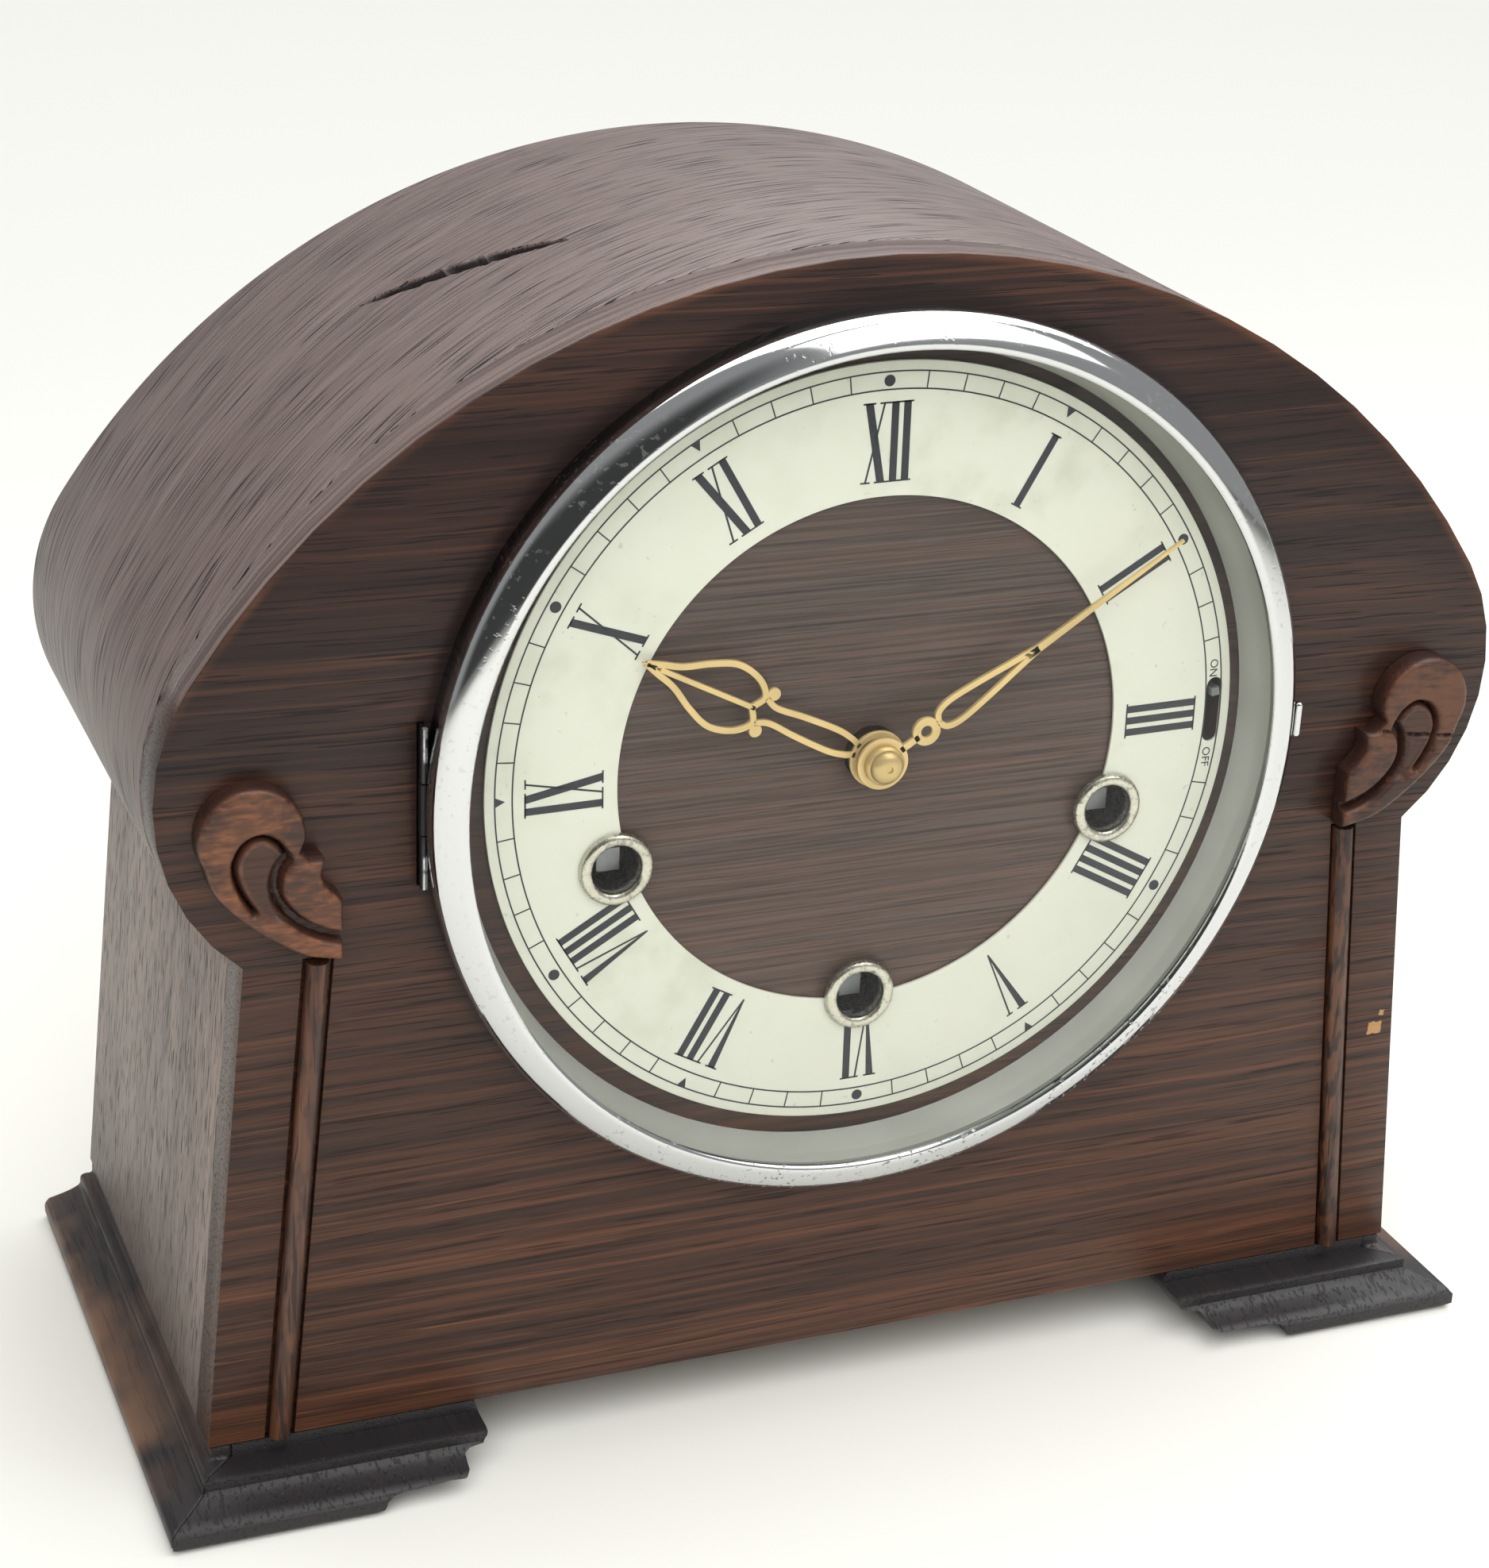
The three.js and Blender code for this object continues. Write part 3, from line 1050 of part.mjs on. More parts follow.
// Going train from the lower barrel to the escape wheel
const pinionPhase = (axis, driver) => toward(axis, driver) + halfTooth(PINION_LEAVES);
const intermediateFront = barrelRear + PINION_LENGTH / 2;
const centreFront = trainFront + PINION_LENGTH / 2;
const thirdFront = centreFront + 1.5 * PINION_LENGTH;
const escapeFront = thirdFront + 2 * PINION_LENGTH;

function trainWheel(axis, driver, pinionRadius, pinionFront, radius, driven, wheelFront) {
  const phase = pinionPhase(axis, driver);
  const pinion = gear(axis, PINION_LEAVES, pinionRadius, phase, pinionFront, PINION_LENGTH);
  const wheel = gear(axis, WHEEL_TEETH, radius, toward(axis, driven), wheelFront, WHEEL_THICKNESS);
  return [pinion, wheel];
}

const intermediateParts = trainWheel(
  intermediateAxis,
  lowerAxis,
  intermediatePinion,
  lowerWheelFront - WHEEL_THICKNESS / 2,
  INTERMEDIATE_RADIUS,
  dialCentre,
  intermediateFront,
);
piece('intermediate_wheel', join(trainArbor(intermediateAxis), ...intermediateParts), brass);

const centreParts = trainWheel(
  dialCentre,
  intermediateAxis,
  centrePinion,
  intermediateFront - WHEEL_THICKNESS / 2,
  CENTRE_RADIUS,
  thirdAxis,
  centreFront,
);
const centreArbor = shaft(dialCentre, PIVOT_RADIUS, nutBack - SEAT_GAP, plateRear - SEAT_GAP);
piece('centre_wheel', join(centreArbor, ...centreParts), brass);

const thirdParts = trainWheel(
  thirdAxis,
  dialCentre,
  thirdPinion,
  centreFront - WHEEL_THICKNESS / 2,
  THIRD_RADIUS,
  escapeAxis,
  thirdFront,
);
piece('third_wheel', join(trainArbor(thirdAxis), ...thirdParts), brass);

function escapeWheel() {
  const points = [];
  const turn = (2 * Math.PI) / ESCAPE_TEETH;
  for (let i = 0; i < ESCAPE_TEETH; i += 1) {
    points.push(at(0, ESCAPE_RADIUS).rotateAround(origin, i * turn).add(escapeAxis));
    points.push(at(0, ESCAPE_RADIUS * 0.8).rotateAround(origin, (i + 0.25) * turn).add(escapeAxis));
  }
  const wheel = plate(outline(points), escapeFront, WHEEL_THICKNESS);
  const pinionFront = thirdFront - WHEEL_THICKNESS / 2;
  const phase = pinionPhase(escapeAxis, thirdAxis);
  const pinion = gear(escapeAxis, PINION_LEAVES, escapePinion, phase, pinionFront, PINION_LENGTH);
  return join(trainArbor(escapeAxis), wheel, pinion);
}

piece('escape_wheel', escapeWheel(), brass);

// Anchor with its pallets, arbor and crutch
const rodY = plateRear + PENDULUM_SETBACK;
const crutchFront = plateRear + PENDULUM_SETBACK / 2;

function anchor() {
  const reach = ESCAPE_RADIUS + PALLET_CLEARANCE;
  const arms = [150, 130, 110, 90, 70, 50, 30].map((angle) => degrees(angle));
  const around = (angle, radius) => at(radius * Math.cos(angle), radius * Math.sin(angle)).add(escapeAxis);
  const yoke = outline([
    at(0, anchorAxis.y + 2.4),
    around(arms[0], reach + 3),
    ...arms.map((angle) => around(angle, reach)),
    around(arms[arms.length - 1], reach + 3),
  ]);
  const arbor = shaft(anchorAxis, PIVOT_RADIUS, plateFront + SEAT_GAP, crutchFront + 1);
  const half = CRUTCH_WIDTH / 2;
  const foot = anchorAxis.y - CRUTCH_LENGTH;
  const stem = box(-half, half, crutchFront, crutchFront + WHEEL_THICKNESS, foot, anchorAxis.y + half);
  const inner = PENDULUM_ROD_RADIUS + SEAT_GAP;
  const prongRear = rodY + 2 * PENDULUM_ROD_RADIUS;
  const faces = [crutchFront, crutchFront + WHEEL_THICKNESS];
  const bridge = box(-inner - half, inner + half, ...faces, foot, foot + half);
  const prongs = [-1, 1].map((side) => {
    const edges = [side * inner, side * (inner + half)];
    return box(Math.min(...edges), Math.max(...edges), crutchFront, prongRear, foot, foot + half);
  });
  return join(plate(yoke, escapeFront, WHEEL_THICKNESS), arbor, stem, bridge, ...prongs);
}

piece('anchor', anchor(), steel);

// Suspension cock on the back plate, pendulum rod on its spring strip, and bob
const cockBottom = anchorAxis.y + STRIP_LENGTH / 2;
const rodTop = anchorAxis.y - STRIP_LENGTH / 2;
const bobAxis = at(0, anchorAxis.y - BOB_DROP);
const rodBottom = bobAxis.y - BOB_RADIUS - PENDULUM_TAIL;

function pendulumRod() {
  const half = STRIP_WIDTH / 2;
  const thin = STRIP_THICKNESS / 2;
  const strip = box(-thin, thin, rodY - half, rodY + half, rodTop - 1, cockBottom - SEAT_GAP);
  const rod = post(0, rodY, PENDULUM_ROD_RADIUS, rodBottom, rodTop);
  const nutTop = bobAxis.y - BOB_RADIUS - SEAT_GAP;
  const nut = post(0, rodY, 2.2 * PENDULUM_ROD_RADIUS, nutTop - PENDULUM_TAIL / 2, nutTop);
  return join(strip, rod, nut);
}

function pendulumBob() {
  const half = BOB_THICKNESS / 2;
  const edge = BOB_RADIUS - 1;
  const profile = [[0, rodY - half], [edge * 0.6, rodY - half * 0.8], [BOB_RADIUS, rodY - 1]];
  const rear = [[BOB_RADIUS, rodY + 1], [edge * 0.6, rodY + half * 0.8], [0, rodY + half]];
  const ends = [bobAxis.y - BOB_RADIUS - 1, bobAxis.y + BOB_RADIUS + 1];
  const bore = post(0, rodY, PENDULUM_ROD_RADIUS + SEAT_GAP, ...ends);
  return turned([...profile, ...rear], bobAxis).subtract(bore);
}

const cockHalf = COCK_WIDTH / 2;
const cockFront = plateRear + SEAT_GAP;
const cockRear = rodY + STRIP_WIDTH;
const cockEnds = [cockBottom, cockBottom + COCK_HEIGHT];
piece('suspension_cock', box(-cockHalf, cockHalf, cockFront, cockRear, ...cockEnds), brass);
piece('pendulum_rod', pendulumRod(), steel);
piece('pendulum_bob', pendulumBob(), brass);

// Motion work behind the front panel: hour wheel in front, minute wheel and cannon pinion behind it
const motionFront = PANEL_THICKNESS + 2;
const hourWheelFront = motionFront + 1;
const minuteWheelFront = hourWheelFront + 2 * WHEEL_THICKNESS;
const cannonPitch = (MOTION_CENTRES * CANNON_LEAVES) / (CANNON_LEAVES + MINUTE_WHEEL_TEETH);
const minutePinionPitch = (MOTION_CENTRES * CANNON_LEAVES) / (CANNON_LEAVES + HOUR_WHEEL_TEETH);
const motionAngle = degrees(MINUTE_WHEEL_ANGLE);

function cannonPinion() {
  const phase = motionAngle + halfTooth(CANNON_LEAVES);
  const length = 2 * WHEEL_THICKNESS;
  const pinion = gear(dialCentre, CANNON_LEAVES, cannonPitch, phase, minuteWheelFront, length);
  const pipe = shaft(dialCentre, cannonRadius, nutBack - SEAT_GAP, plateFront - SEAT_GAP, TURNED_STEPS);
  const bore = shaft(dialCentre, cannonBore, nutBack - 2, plateFront + 1, TURNED_STEPS);
  return pipe.add(pinion).subtract(bore);
}

function minuteWheel() {
  const pitch = MOTION_CENTRES - cannonPitch;
  const turn = motionAngle + Math.PI;
  const front = minuteWheelFront + 0.5;
  const wheel = gear(minuteWheelAxis, MINUTE_WHEEL_TEETH, pitch, turn, front, WHEEL_THICKNESS);
  const phase = motionAngle + Math.PI + halfTooth(CANNON_LEAVES);
  const reach = minuteWheelFront + 1 - motionFront;
  const pinion = gear(minuteWheelAxis, CANNON_LEAVES, minutePinionPitch, phase, motionFront, reach);
  const stud = shaft(minuteWheelAxis, PIVOT_RADIUS, motionFront, trainFront);
  return join(wheel, pinion, stud);
}

function hourWheel() {
  const pitch = MOTION_CENTRES - minutePinionPitch;
  const wheel = gear(dialCentre, HOUR_WHEEL_TEETH, pitch, motionAngle, hourWheelFront, WHEEL_THICKNESS);
  const rear = hourWheelFront + WHEEL_THICKNESS + SEAT_GAP;
  const pipe = shaft(dialCentre, hourPipeRadius, hourFront - SEAT_GAP, rear, TURNED_STEPS);
  const bore = shaft(dialCentre, pipeBore, hourFront - 2, rear + 1, TURNED_STEPS);
  return pipe.add(wheel).subtract(bore);
}

piece('cannon_pinion', cannonPinion(), brass);
piece('minute_wheel', minuteWheel(), brass);
piece('hour_wheel', hourWheel(), brass);

// Chime and silent lever, drawn level and then raised to the chime end of its slot
function chimeLever() {
  const front = motionFront + 5;
  const rear = front + LEVER_THICKNESS;
  const half = LEVER_WIDTH / 2;
  const arm = box(0, LEVER_REACH + LEVER_TIP / 2, front, rear, -half, half);
  const hub = shaft(origin, LEVER_WIDTH * 0.8, front, plateFront - SEAT_GAP, TURNED_STEPS / 2);
  const pin = shaft(origin, PIVOT_RADIUS, front + 0.5, trainFront);
  const halfTip = LEVER_TIP / 2;
  const sides = [LEVER_REACH - halfTip, LEVER_REACH + halfTip];
  const tip = box(...sides, ringFace - 1, rear, -halfTip, halfTip);
  return join(arm, hub, pin, tip);
}

const leverGroup = new THREE.Group();
leverGroup.position.set(leverPivot.x, 0, leverPivot.y);
leverGroup.rotation.y = -leverAngle;
clock.add(leverGroup);
piece('chime_lever', chimeLever(), steel, leverGroup);

// Chime drum, hammers, rods and block
function chimeDrum() {
  const wheelFront = sideWheelFront + 0.2;
  const phase = drumPhase + Math.PI + halfTooth(DRUM_TEETH);
  const wheel = gear(drumAxis, DRUM_TEETH, drumWheel, phase, wheelFront, WHEEL_THICKNESS);
  const drum = shaft(drumAxis, DRUM_RADIUS, wheelFront + 0.5, wheelFront + DRUM_LENGTH, TURNED_STEPS);
  return join(trainArbor(drumAxis), wheel, drum);
}

const rodYs = [0, 1].map((i) => trainFront + ROD_SPACING + i * ROD_SPACING);
const headBottom = rodHeight + ROD_RADIUS + HAMMER_LIFT;

function hammer(y) {
  const front = y - HAMMER_WIDTH / 2;
  const headX = HAMMER_X - HAMMER_REACH;
  const headTop = headBottom + HAMMER_HEAD_LENGTH;
  const hubRadius = PIVOT_RADIUS + 2.4;
  const arm = outline([
    at(headX, headTop - 1),
    at(HAMMER_X, hammerAxis.y - 1.5),
    at(HAMMER_X + 9, hammerAxis.y + 10),
    at(HAMMER_X + 6.6, hammerAxis.y + 11),
    at(HAMMER_X - 1, hammerAxis.y + 1.8),
    at(headX, headTop - 3.4 + 4),
  ]);
  const hub = shaft(hammerAxis, hubRadius, front, front + HAMMER_WIDTH, 12);
  const bore = shaft(hammerAxis, PIVOT_RADIUS + SHAFT_GAP, front - 1, front + HAMMER_WIDTH + 1);
  const head = post(headX, y, HAMMER_HEAD_RADIUS, headBottom, headTop, 16);
  return join(plate(arm, front, HAMMER_WIDTH), hub, head).subtract(bore);
}

const blockRight = -ROD_LENGTH / 2 + ROD_SEAT;
const blockMiddle = (rodYs[0] + rodYs[1]) / 2;
const lieAlongX = new THREE.Matrix4().makeRotationY(Math.PI / 2);

// Rod along X at a depth, of a given radius
function lyingRod(y, radius, x0, x1) {
  const profile = [[0, 0], [radius, 0], [radius, x1 - x0], [0, x1 - x0]];
  const geometry = lathe(profile, SHAFT_STEPS).rotateX(Math.PI / 2);
  return solid(geometry.applyMatrix4(lieAlongX).translate(x0, y, rodHeight));
}

function gongBlock() {
  const bottom = baseTop + SEAT_GAP;
  let block = box(
    blockRight - BLOCK_WIDTH,
    blockRight,
    blockMiddle - BLOCK_DEPTH / 2,
    blockMiddle + BLOCK_DEPTH / 2,
    bottom,
    bottom + BLOCK_HEIGHT,
  );
  const seat = blockRight - ROD_SEAT - SEAT_GAP;
  for (const y of rodYs) block = block.subtract(lyingRod(y, ROD_RADIUS + SEAT_GAP, seat, blockRight + 1));
  return block;
}

piece('chime_drum', chimeDrum(), brass);
rodYs.forEach((y, i) => {
  piece(`hammer_${i + 1}`, hammer(y), steel);
  piece(`gong_rod_${i + 1}`, lyingRod(y, ROD_RADIUS, -ROD_LENGTH / 2, ROD_LENGTH / 2), steel);
});
piece('gong_block', gongBlock(), iron);

// Middle of the whole box between the foremost face and the rear edge
const glassFront = -lipBack - SEAT_GAP + GLASS_RISE;
const foremost = Math.max(glassFront, PLINTH_FRONT, BEZEL_DEPTH, -nutBack + NUT_HEIGHT);
clock.position.y = (foremost - CASE_DEPTH) / 2;

export default clock;
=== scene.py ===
import math

import bmesh
import bpy
import numpy as np
from bpy.props import FloatProperty, FloatVectorProperty, PointerProperty
from mathutils import Matrix, Vector


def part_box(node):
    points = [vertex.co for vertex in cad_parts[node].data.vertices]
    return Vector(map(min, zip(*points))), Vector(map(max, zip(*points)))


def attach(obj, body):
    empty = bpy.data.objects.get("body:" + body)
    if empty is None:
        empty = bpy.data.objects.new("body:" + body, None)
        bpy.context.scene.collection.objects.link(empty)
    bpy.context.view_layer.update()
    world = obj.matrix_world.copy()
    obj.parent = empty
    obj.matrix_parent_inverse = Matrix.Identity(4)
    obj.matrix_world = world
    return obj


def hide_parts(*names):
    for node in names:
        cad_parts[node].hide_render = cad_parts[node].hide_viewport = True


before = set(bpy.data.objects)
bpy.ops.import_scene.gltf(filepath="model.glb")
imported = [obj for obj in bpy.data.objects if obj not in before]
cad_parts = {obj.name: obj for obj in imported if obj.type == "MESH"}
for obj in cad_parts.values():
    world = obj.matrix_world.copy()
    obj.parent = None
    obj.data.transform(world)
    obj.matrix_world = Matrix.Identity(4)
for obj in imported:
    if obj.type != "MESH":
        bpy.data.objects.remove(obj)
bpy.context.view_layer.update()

bl_info = {
    "name": "Arched Oak Mantel Clock",
    "version": (1, 0, 0),
    "blender": (4, 5, 0),
    "location": "View3D > Sidebar > Clock",
    "description": "Dresses an arched oak mantel clock: case, dial, hands, movement, finishes and stage",
    "category": "Add Mesh",
}

# Lengths are drawn in millimetres with the front panel's face at y = 0 and the shelf at z = 0
MM = 0.001
FACE_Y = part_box("front_panel")[0][1]
DIAL_Z = sum(corner[2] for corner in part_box("chapter_ring")) / 2 / MM
IN_PLACE = Matrix.Translation((0, FACE_Y, 0)) @ Matrix.Scale(MM, 4)
UPRIGHT = Matrix.Rotation(math.radians(90), 4, "X")


def linear(red, green, blue):
    """Screen colour from 0 to 255 as linear light."""
    shares = [value / 255 for value in (red, green, blue)]
    return tuple(s / 12.92 if s <= 0.04045 else ((s + 0.055) / 1.055) ** 2.4 for s in shares)


def length(name, text, millimetres):
    default = millimetres * MM
    return FloatProperty(name=name, description=text, default=default, unit="LENGTH", precision=5)


def tint(name, text, *rgb):
    settings = {"default": linear(*rgb), "subtype": "COLOR", "size": 3, "min": 0, "max": 1}
    return FloatVectorProperty(name=name, description=text, **settings)


class ClockSizes(bpy.types.PropertyGroup):
    crown_radius: length("Crown radius", "Large arc of the case's top", 149.238)
    crown_height: length("Crown centre", "Height of the large arc's centre", 77.762)
    shoulder_radius: length("Shoulder radius", "Small arcs at the ends of the crown", 39)
    shoulder_x: length("Shoulder offset", "Centres of the small arcs from the middle", 92)
    shoulder_height: length("Shoulder height", "Height of the small arcs' centres", 138.5)
    arch_thickness: length("Arch thickness", "Bent board over the top", 6)
    arris: length("Arris", "Softened edges of the woodwork", 0.5)
    bezel_radius: length("Bezel radius", "Outside of the chrome ring", 84.5)
    bezel_foot: length("Bezel foot", "Straight wall of the chrome ring at the panel", 83.7)
    bezel_depth: length("Bezel depth", "Front of the chrome ring from the panel", 10.8)
    lip_radius: length("Bezel lip", "Opening of the chrome ring", 78.4)
    sight_radius: length("Sight ring", "Mouth of the grey ring behind the glass", 79.2)
    sight_taper: length("Sight taper", "How much smaller its foot is", 2.7)
    ring_outer: length("Chapter ring outside", "Outer radius of the silvered ring", 73.5)
    ring_inner: length("Chapter ring inside", "Inner radius of the silvered ring", 49)
    numeral_foot: length("Numeral foot", "Radius where the numerals start", 51.6)
    numeral_height: length("Numeral height", "From foot to head", 14.6)
    track_radius: length("Minute track", "Middle radius of the minute track", 70)
    track_width: length("Track width", "Between the two lines of the minute track", 3.2)
    hour_length: length("Hour hand", "Centre to tip", 51.3)
    minute_length: length("Minute hand", "Centre to tip", 68.7)


class ClockFinishes(bpy.types.PropertyGroup):
    oak_dark: tint("Oak, dark", "Deep tone of the front veneer", 26, 15, 13)
    oak_mid: tint("Oak, middle", "Main tone of the front veneer", 54, 33, 25)
    oak_warm: tint("Oak, warm", "Orange streaks in the veneer", 116, 71, 43)
    oak_pore: tint("Oak pores", "Open pores in the grain", 15, 10, 10)
    arch_mid: tint("Arch, middle", "Main tone of the bent top", 103, 89, 85)
    arch_dark: tint("Arch, dark", "Deep tone of the bent top", 70, 58, 55)
    side_mid: tint("Sides, middle", "Faded tone of the side panels", 131, 115, 106)
    plinth_dark: tint("Plinth", "Dark varnish on the mouldings", 26, 24, 26)
    plinth_worn: tint("Plinth, worn", "Bare wood on the nose", 112, 82, 62)
    carved_warm: tint("Carving, warm", "Worn high parts of the scrolls", 86, 52, 32)
    carved_dark: tint("Carving, dark", "Hollows of the scrolls", 34, 20, 17)
    bare: tint("Bare wood", "Chip in the veneer", 168, 128, 84)
    ply: tint("Plywood", "Back and base", 142, 108, 74)
    chrome: tint("Chrome", "Bezel plating", 208, 210, 211)
    satin: tint("Sight ring", "Matt grey ring", 152, 153, 146)
    silver: tint("Chapter ring", "Silvered ring", 204, 205, 191)
    ink: tint("Ink", "Numerals and track", 24, 27, 36)
    gilt: tint("Gilt", "Hands", 218, 190, 132)
    brass: tint("Brass", "Movement and fittings", 196, 158, 84)
    nickel: tint("Nickel", "Ferrules", 206, 202, 188)
    steel: tint("Steel", "Arbors, pillars and hammers", 142, 144, 148)
    iron: tint("Iron", "Gong block", 62, 63, 65)
    floor: tint("Floor", "Plain pale floor", 206, 205, 199)


def sizes():
    """The sizes in millimetres."""
    group = bpy.context.scene.clock_sizes
    return {name: getattr(group, name) / MM for name in ClockSizes.__annotations__}


def finish_tint(name, shares=(1, 1, 1)):
    """A finish's colour with alpha, times a share for each of red, green and blue."""
    colour = getattr(bpy.context.scene.clock_finishes, name)
    return (*(value * share for value, share in zip(colour, shares)), 1)


def arithmetic(operation, flipped=False):
    """A method that joins a socket and other values in a maths node."""

    def join(wire, *others):
        values = (*others, wire) if flipped else (wire, *others)
        return wire.paint.add("ShaderNodeMath", {"operation": operation}, dict(enumerate(values)))

    return join


class Wire:
    """A shader socket with arithmetic."""

    def __init__(self, paint, socket):
        self.paint = paint
        self.socket = socket

    __add__ = arithmetic("ADD")
    __radd__ = arithmetic("ADD")
    __sub__ = arithmetic("SUBTRACT")
    __rsub__ = arithmetic("SUBTRACT", True)
    __mul__ = arithmetic("MULTIPLY")
    __rmul__ = arithmetic("MULTIPLY")
    __truediv__ = arithmetic("DIVIDE")
    __pow__ = arithmetic("POWER")
    __abs__ = arithmetic("ABSOLUTE")
    least = arithmetic("MINIMUM")
    most = arithmetic("MAXIMUM")
    root = arithmetic("SQRT")

    def rise(self, low, high):
        """0 below low, 1 above high and smooth between; falls instead where low is above high."""
        inputs = {"Value": self, "From Min": low, "From Max": high}
        return self.paint.add("ShaderNodeMapRange", {"interpolation_type": "SMOOTHSTEP"}, inputs)


class Paint:
    """Builds the nodes of one material or of the world."""

    def __init__(self, name, owner=None):
        self.material = owner or bpy.data.materials.new(name)
        self.material.use_nodes = True
        self.tree = self.material.node_tree
        self.tree.nodes.clear()

    def add(self, kind, settings=None, inputs=None, output=0):
        """A new node with its settings and inputs, as the wire from one of its outputs."""
        node = self.tree.nodes.new(kind)
        for key, value in (settings or {}).items():
            setattr(node, key, value)
        for key, value in (inputs or {}).items():
            if isinstance(value, Wire):
                self.tree.links.new(value.socket, node.inputs[key])
            else:
                node.inputs[key].default_value = value
        return Wire(self, node.outputs[output])

    def place(self):
        """Object coordinates in metres, as x, y and z."""
        spot = self.add("ShaderNodeTexCoord", output="Object")
        return [self.add("ShaderNodeSeparateXYZ", None, {0: spot}, axis) for axis in range(3)]

    def along(self, attribute):
        """Coordinates kept in the mesh, as x, y and z."""
        spot = self.add("ShaderNodeAttribute", {"attribute_name": attribute}, None, "Vector")
        return [self.add("ShaderNodeSeparateXYZ", None, {0: spot}, axis) for axis in range(3)]

    def noise(self, u, v, w, detail=2.0, roughness=0.5):
        vector = self.add("ShaderNodeCombineXYZ", None, {0: u, 1: v, 2: w})
        inputs = {"Vector": vector, "Scale": 1, "Detail": detail, "Roughness": roughness}
        return self.add("ShaderNodeTexNoise", None, inputs)

    def speckle(self, waves, detail, roughness=0.5):
        """Noise with as many waves per metre in every direction."""
        spot = self.add("ShaderNodeTexCoord", output="Object")
        inputs = {"Vector": spot, "Scale": waves, "Detail": detail, "Roughness": roughness}
        return self.add("ShaderNodeTexNoise", None, inputs)

    def mix(self, share, first, second):
        """From the first colour to the second; either may be the name of a finish's colour."""
        ends = [finish_tint(end) if isinstance(end, str) else end for end in (first, second)]
        inputs = {0: share, 6: ends[0], 7: ends[1]}
        return self.add("ShaderNodeMix", {"data_type": "RGBA"}, inputs, 2)

    def ray(self, kind):
        return self.add("ShaderNodeLightPath", None, None, f"Is {kind} Ray")

    def patch(self, across, up, x, z, half_x, half_z):
        """One inside a small rectangle, nothing outside."""
        aside = abs(across - x).rise(half_x, half_x * 0.85)
        return aside * abs(up - z).rise(half_z, half_z * 0.85)

    def bump(self, height, strength, distance):
        inputs = {"Height": height, "Strength": strength, "Distance": distance}
        return self.add("ShaderNodeBump", None, inputs)

    def surface(self, colour, roughness, metallic=0.0, normal=None, **fixed):
        inputs = {"Base Color": colour, "Roughness": roughness, "Metallic": metallic}
        if normal:
            inputs["Normal"] = normal
        for key, value in fixed.items():
            inputs[key.replace("_", " ").title().replace("Ior", "IOR")] = value
        shader = self.add("ShaderNodeBsdfPrincipled", None, inputs)
        return self.output(shader)

    def output(self, shader):
        is_world = isinstance(self.material, bpy.types.World)
        node = self.tree.nodes.new("ShaderNodeOutputWorld" if is_world else "ShaderNodeOutputMaterial")
        self.tree.links.new(shader.socket, node.inputs["Surface"])
        return self.material


# Finishes
finishes = {}

# Waves per metre along and across the grain in each layer of the veneer
DRIFT = (4, 7)
BEND = (8, 20)
BROAD = (2.5, 40)
STREAKS = (6, 520)
FIBRES = (40, 1700)
PORES = (80, 1500)
BEND_SWAY = 0.005
GRAIN_RELIEF = 0.0005

# Chip and crumb in the front veneer: middle and half sizes, in metres
CHIPS = ((0.1163, 0.0613, 0.0017, 0.0014), (0.1176, 0.0646, 0.0006, 0.0006))


def outline_depth(x, z):
    """How far a point of the front panel lies inside its arched edge, in metres."""
    group = bpy.context.scene.clock_sizes
    aside = abs(x) - group.shoulder_x
    crown = group.crown_radius - (x * x + (z - group.crown_height) ** 2).root()
    shoulder = group.shoulder_radius - (aside * aside + (z - group.shoulder_height) ** 2).root()
    return crown.most(shoulder)


def dial_distance(x, z):
    return (x * x + (z - DIAL_Z * MM) ** 2).root()


def layer(paint, spot, waves, detail, roughness=0.5):
    """Noise drawn out along the grain."""
    u, v, w = spot
    along, across = waves
    return paint.noise(u * along, v * across, w * across, detail, roughness)


def grain(paint, axes):
    """Coordinates along the named axes, or along the bend with the leaf of veneer laid a little askew."""
    if axes == "bend":
        s, y, r = paint.along("grain")
        return s + y * 0.25, y - s * 0.22, r
    spot = dict(zip("xyz", paint.place()))
    return [spot[axis] for axis in axes]


def oak(name, axes, tones, warmth, pores, rough, strength=0.35, fine=1.0, calm=0.0):
    """Veneer with long streaks, fibres and open pores; axes are along, across and through the grain."""
    paint = Paint(name)
    u, v, w = grain(paint, axes)
    dark, mid, warm = tones
    drift = layer(paint, (u, v, w), DRIFT, 2)
    sway = (layer(paint, (u, v, w), BEND, 1) - 0.5) * BEND_SWAY
    bent = (u, v + sway, w)
    broad = layer(paint, bent, BROAD, 3)
    streaks = layer(paint, bent, (STREAKS[0], STREAKS[1] * fine), 4, 0.6)
    fibres = layer(paint, bent, FIBRES, 2)
    pits = layer(paint, bent, (PORES[0] / fine, PORES[1] * fine), 1).rise(0.57, 0.65) * pores
    even = (broad * 0.5 + streaks * 0.5).rise(0.36, 0.62)
    colour = paint.mix(even * (1 - calm) + calm, dark, mid)
    orange = streaks.rise(0.53, 0.72) * (drift.rise(0.35, 0.7) * 0.75 + 0.25)
    colour = paint.mix(orange * warmth, colour, warm)
    colour = paint.mix(fibres.rise(0.62, 0.36) * 0.35, colour, dark)
    colour = paint.mix(pits * 0.8, colour, "oak_pore")
    normal = paint.bump(fibres * 0.35 + streaks * 0.25 - pits, strength, GRAIN_RELIEF)
    return paint, colour, fibres * 0.12 + pits * 0.25 + rough, normal


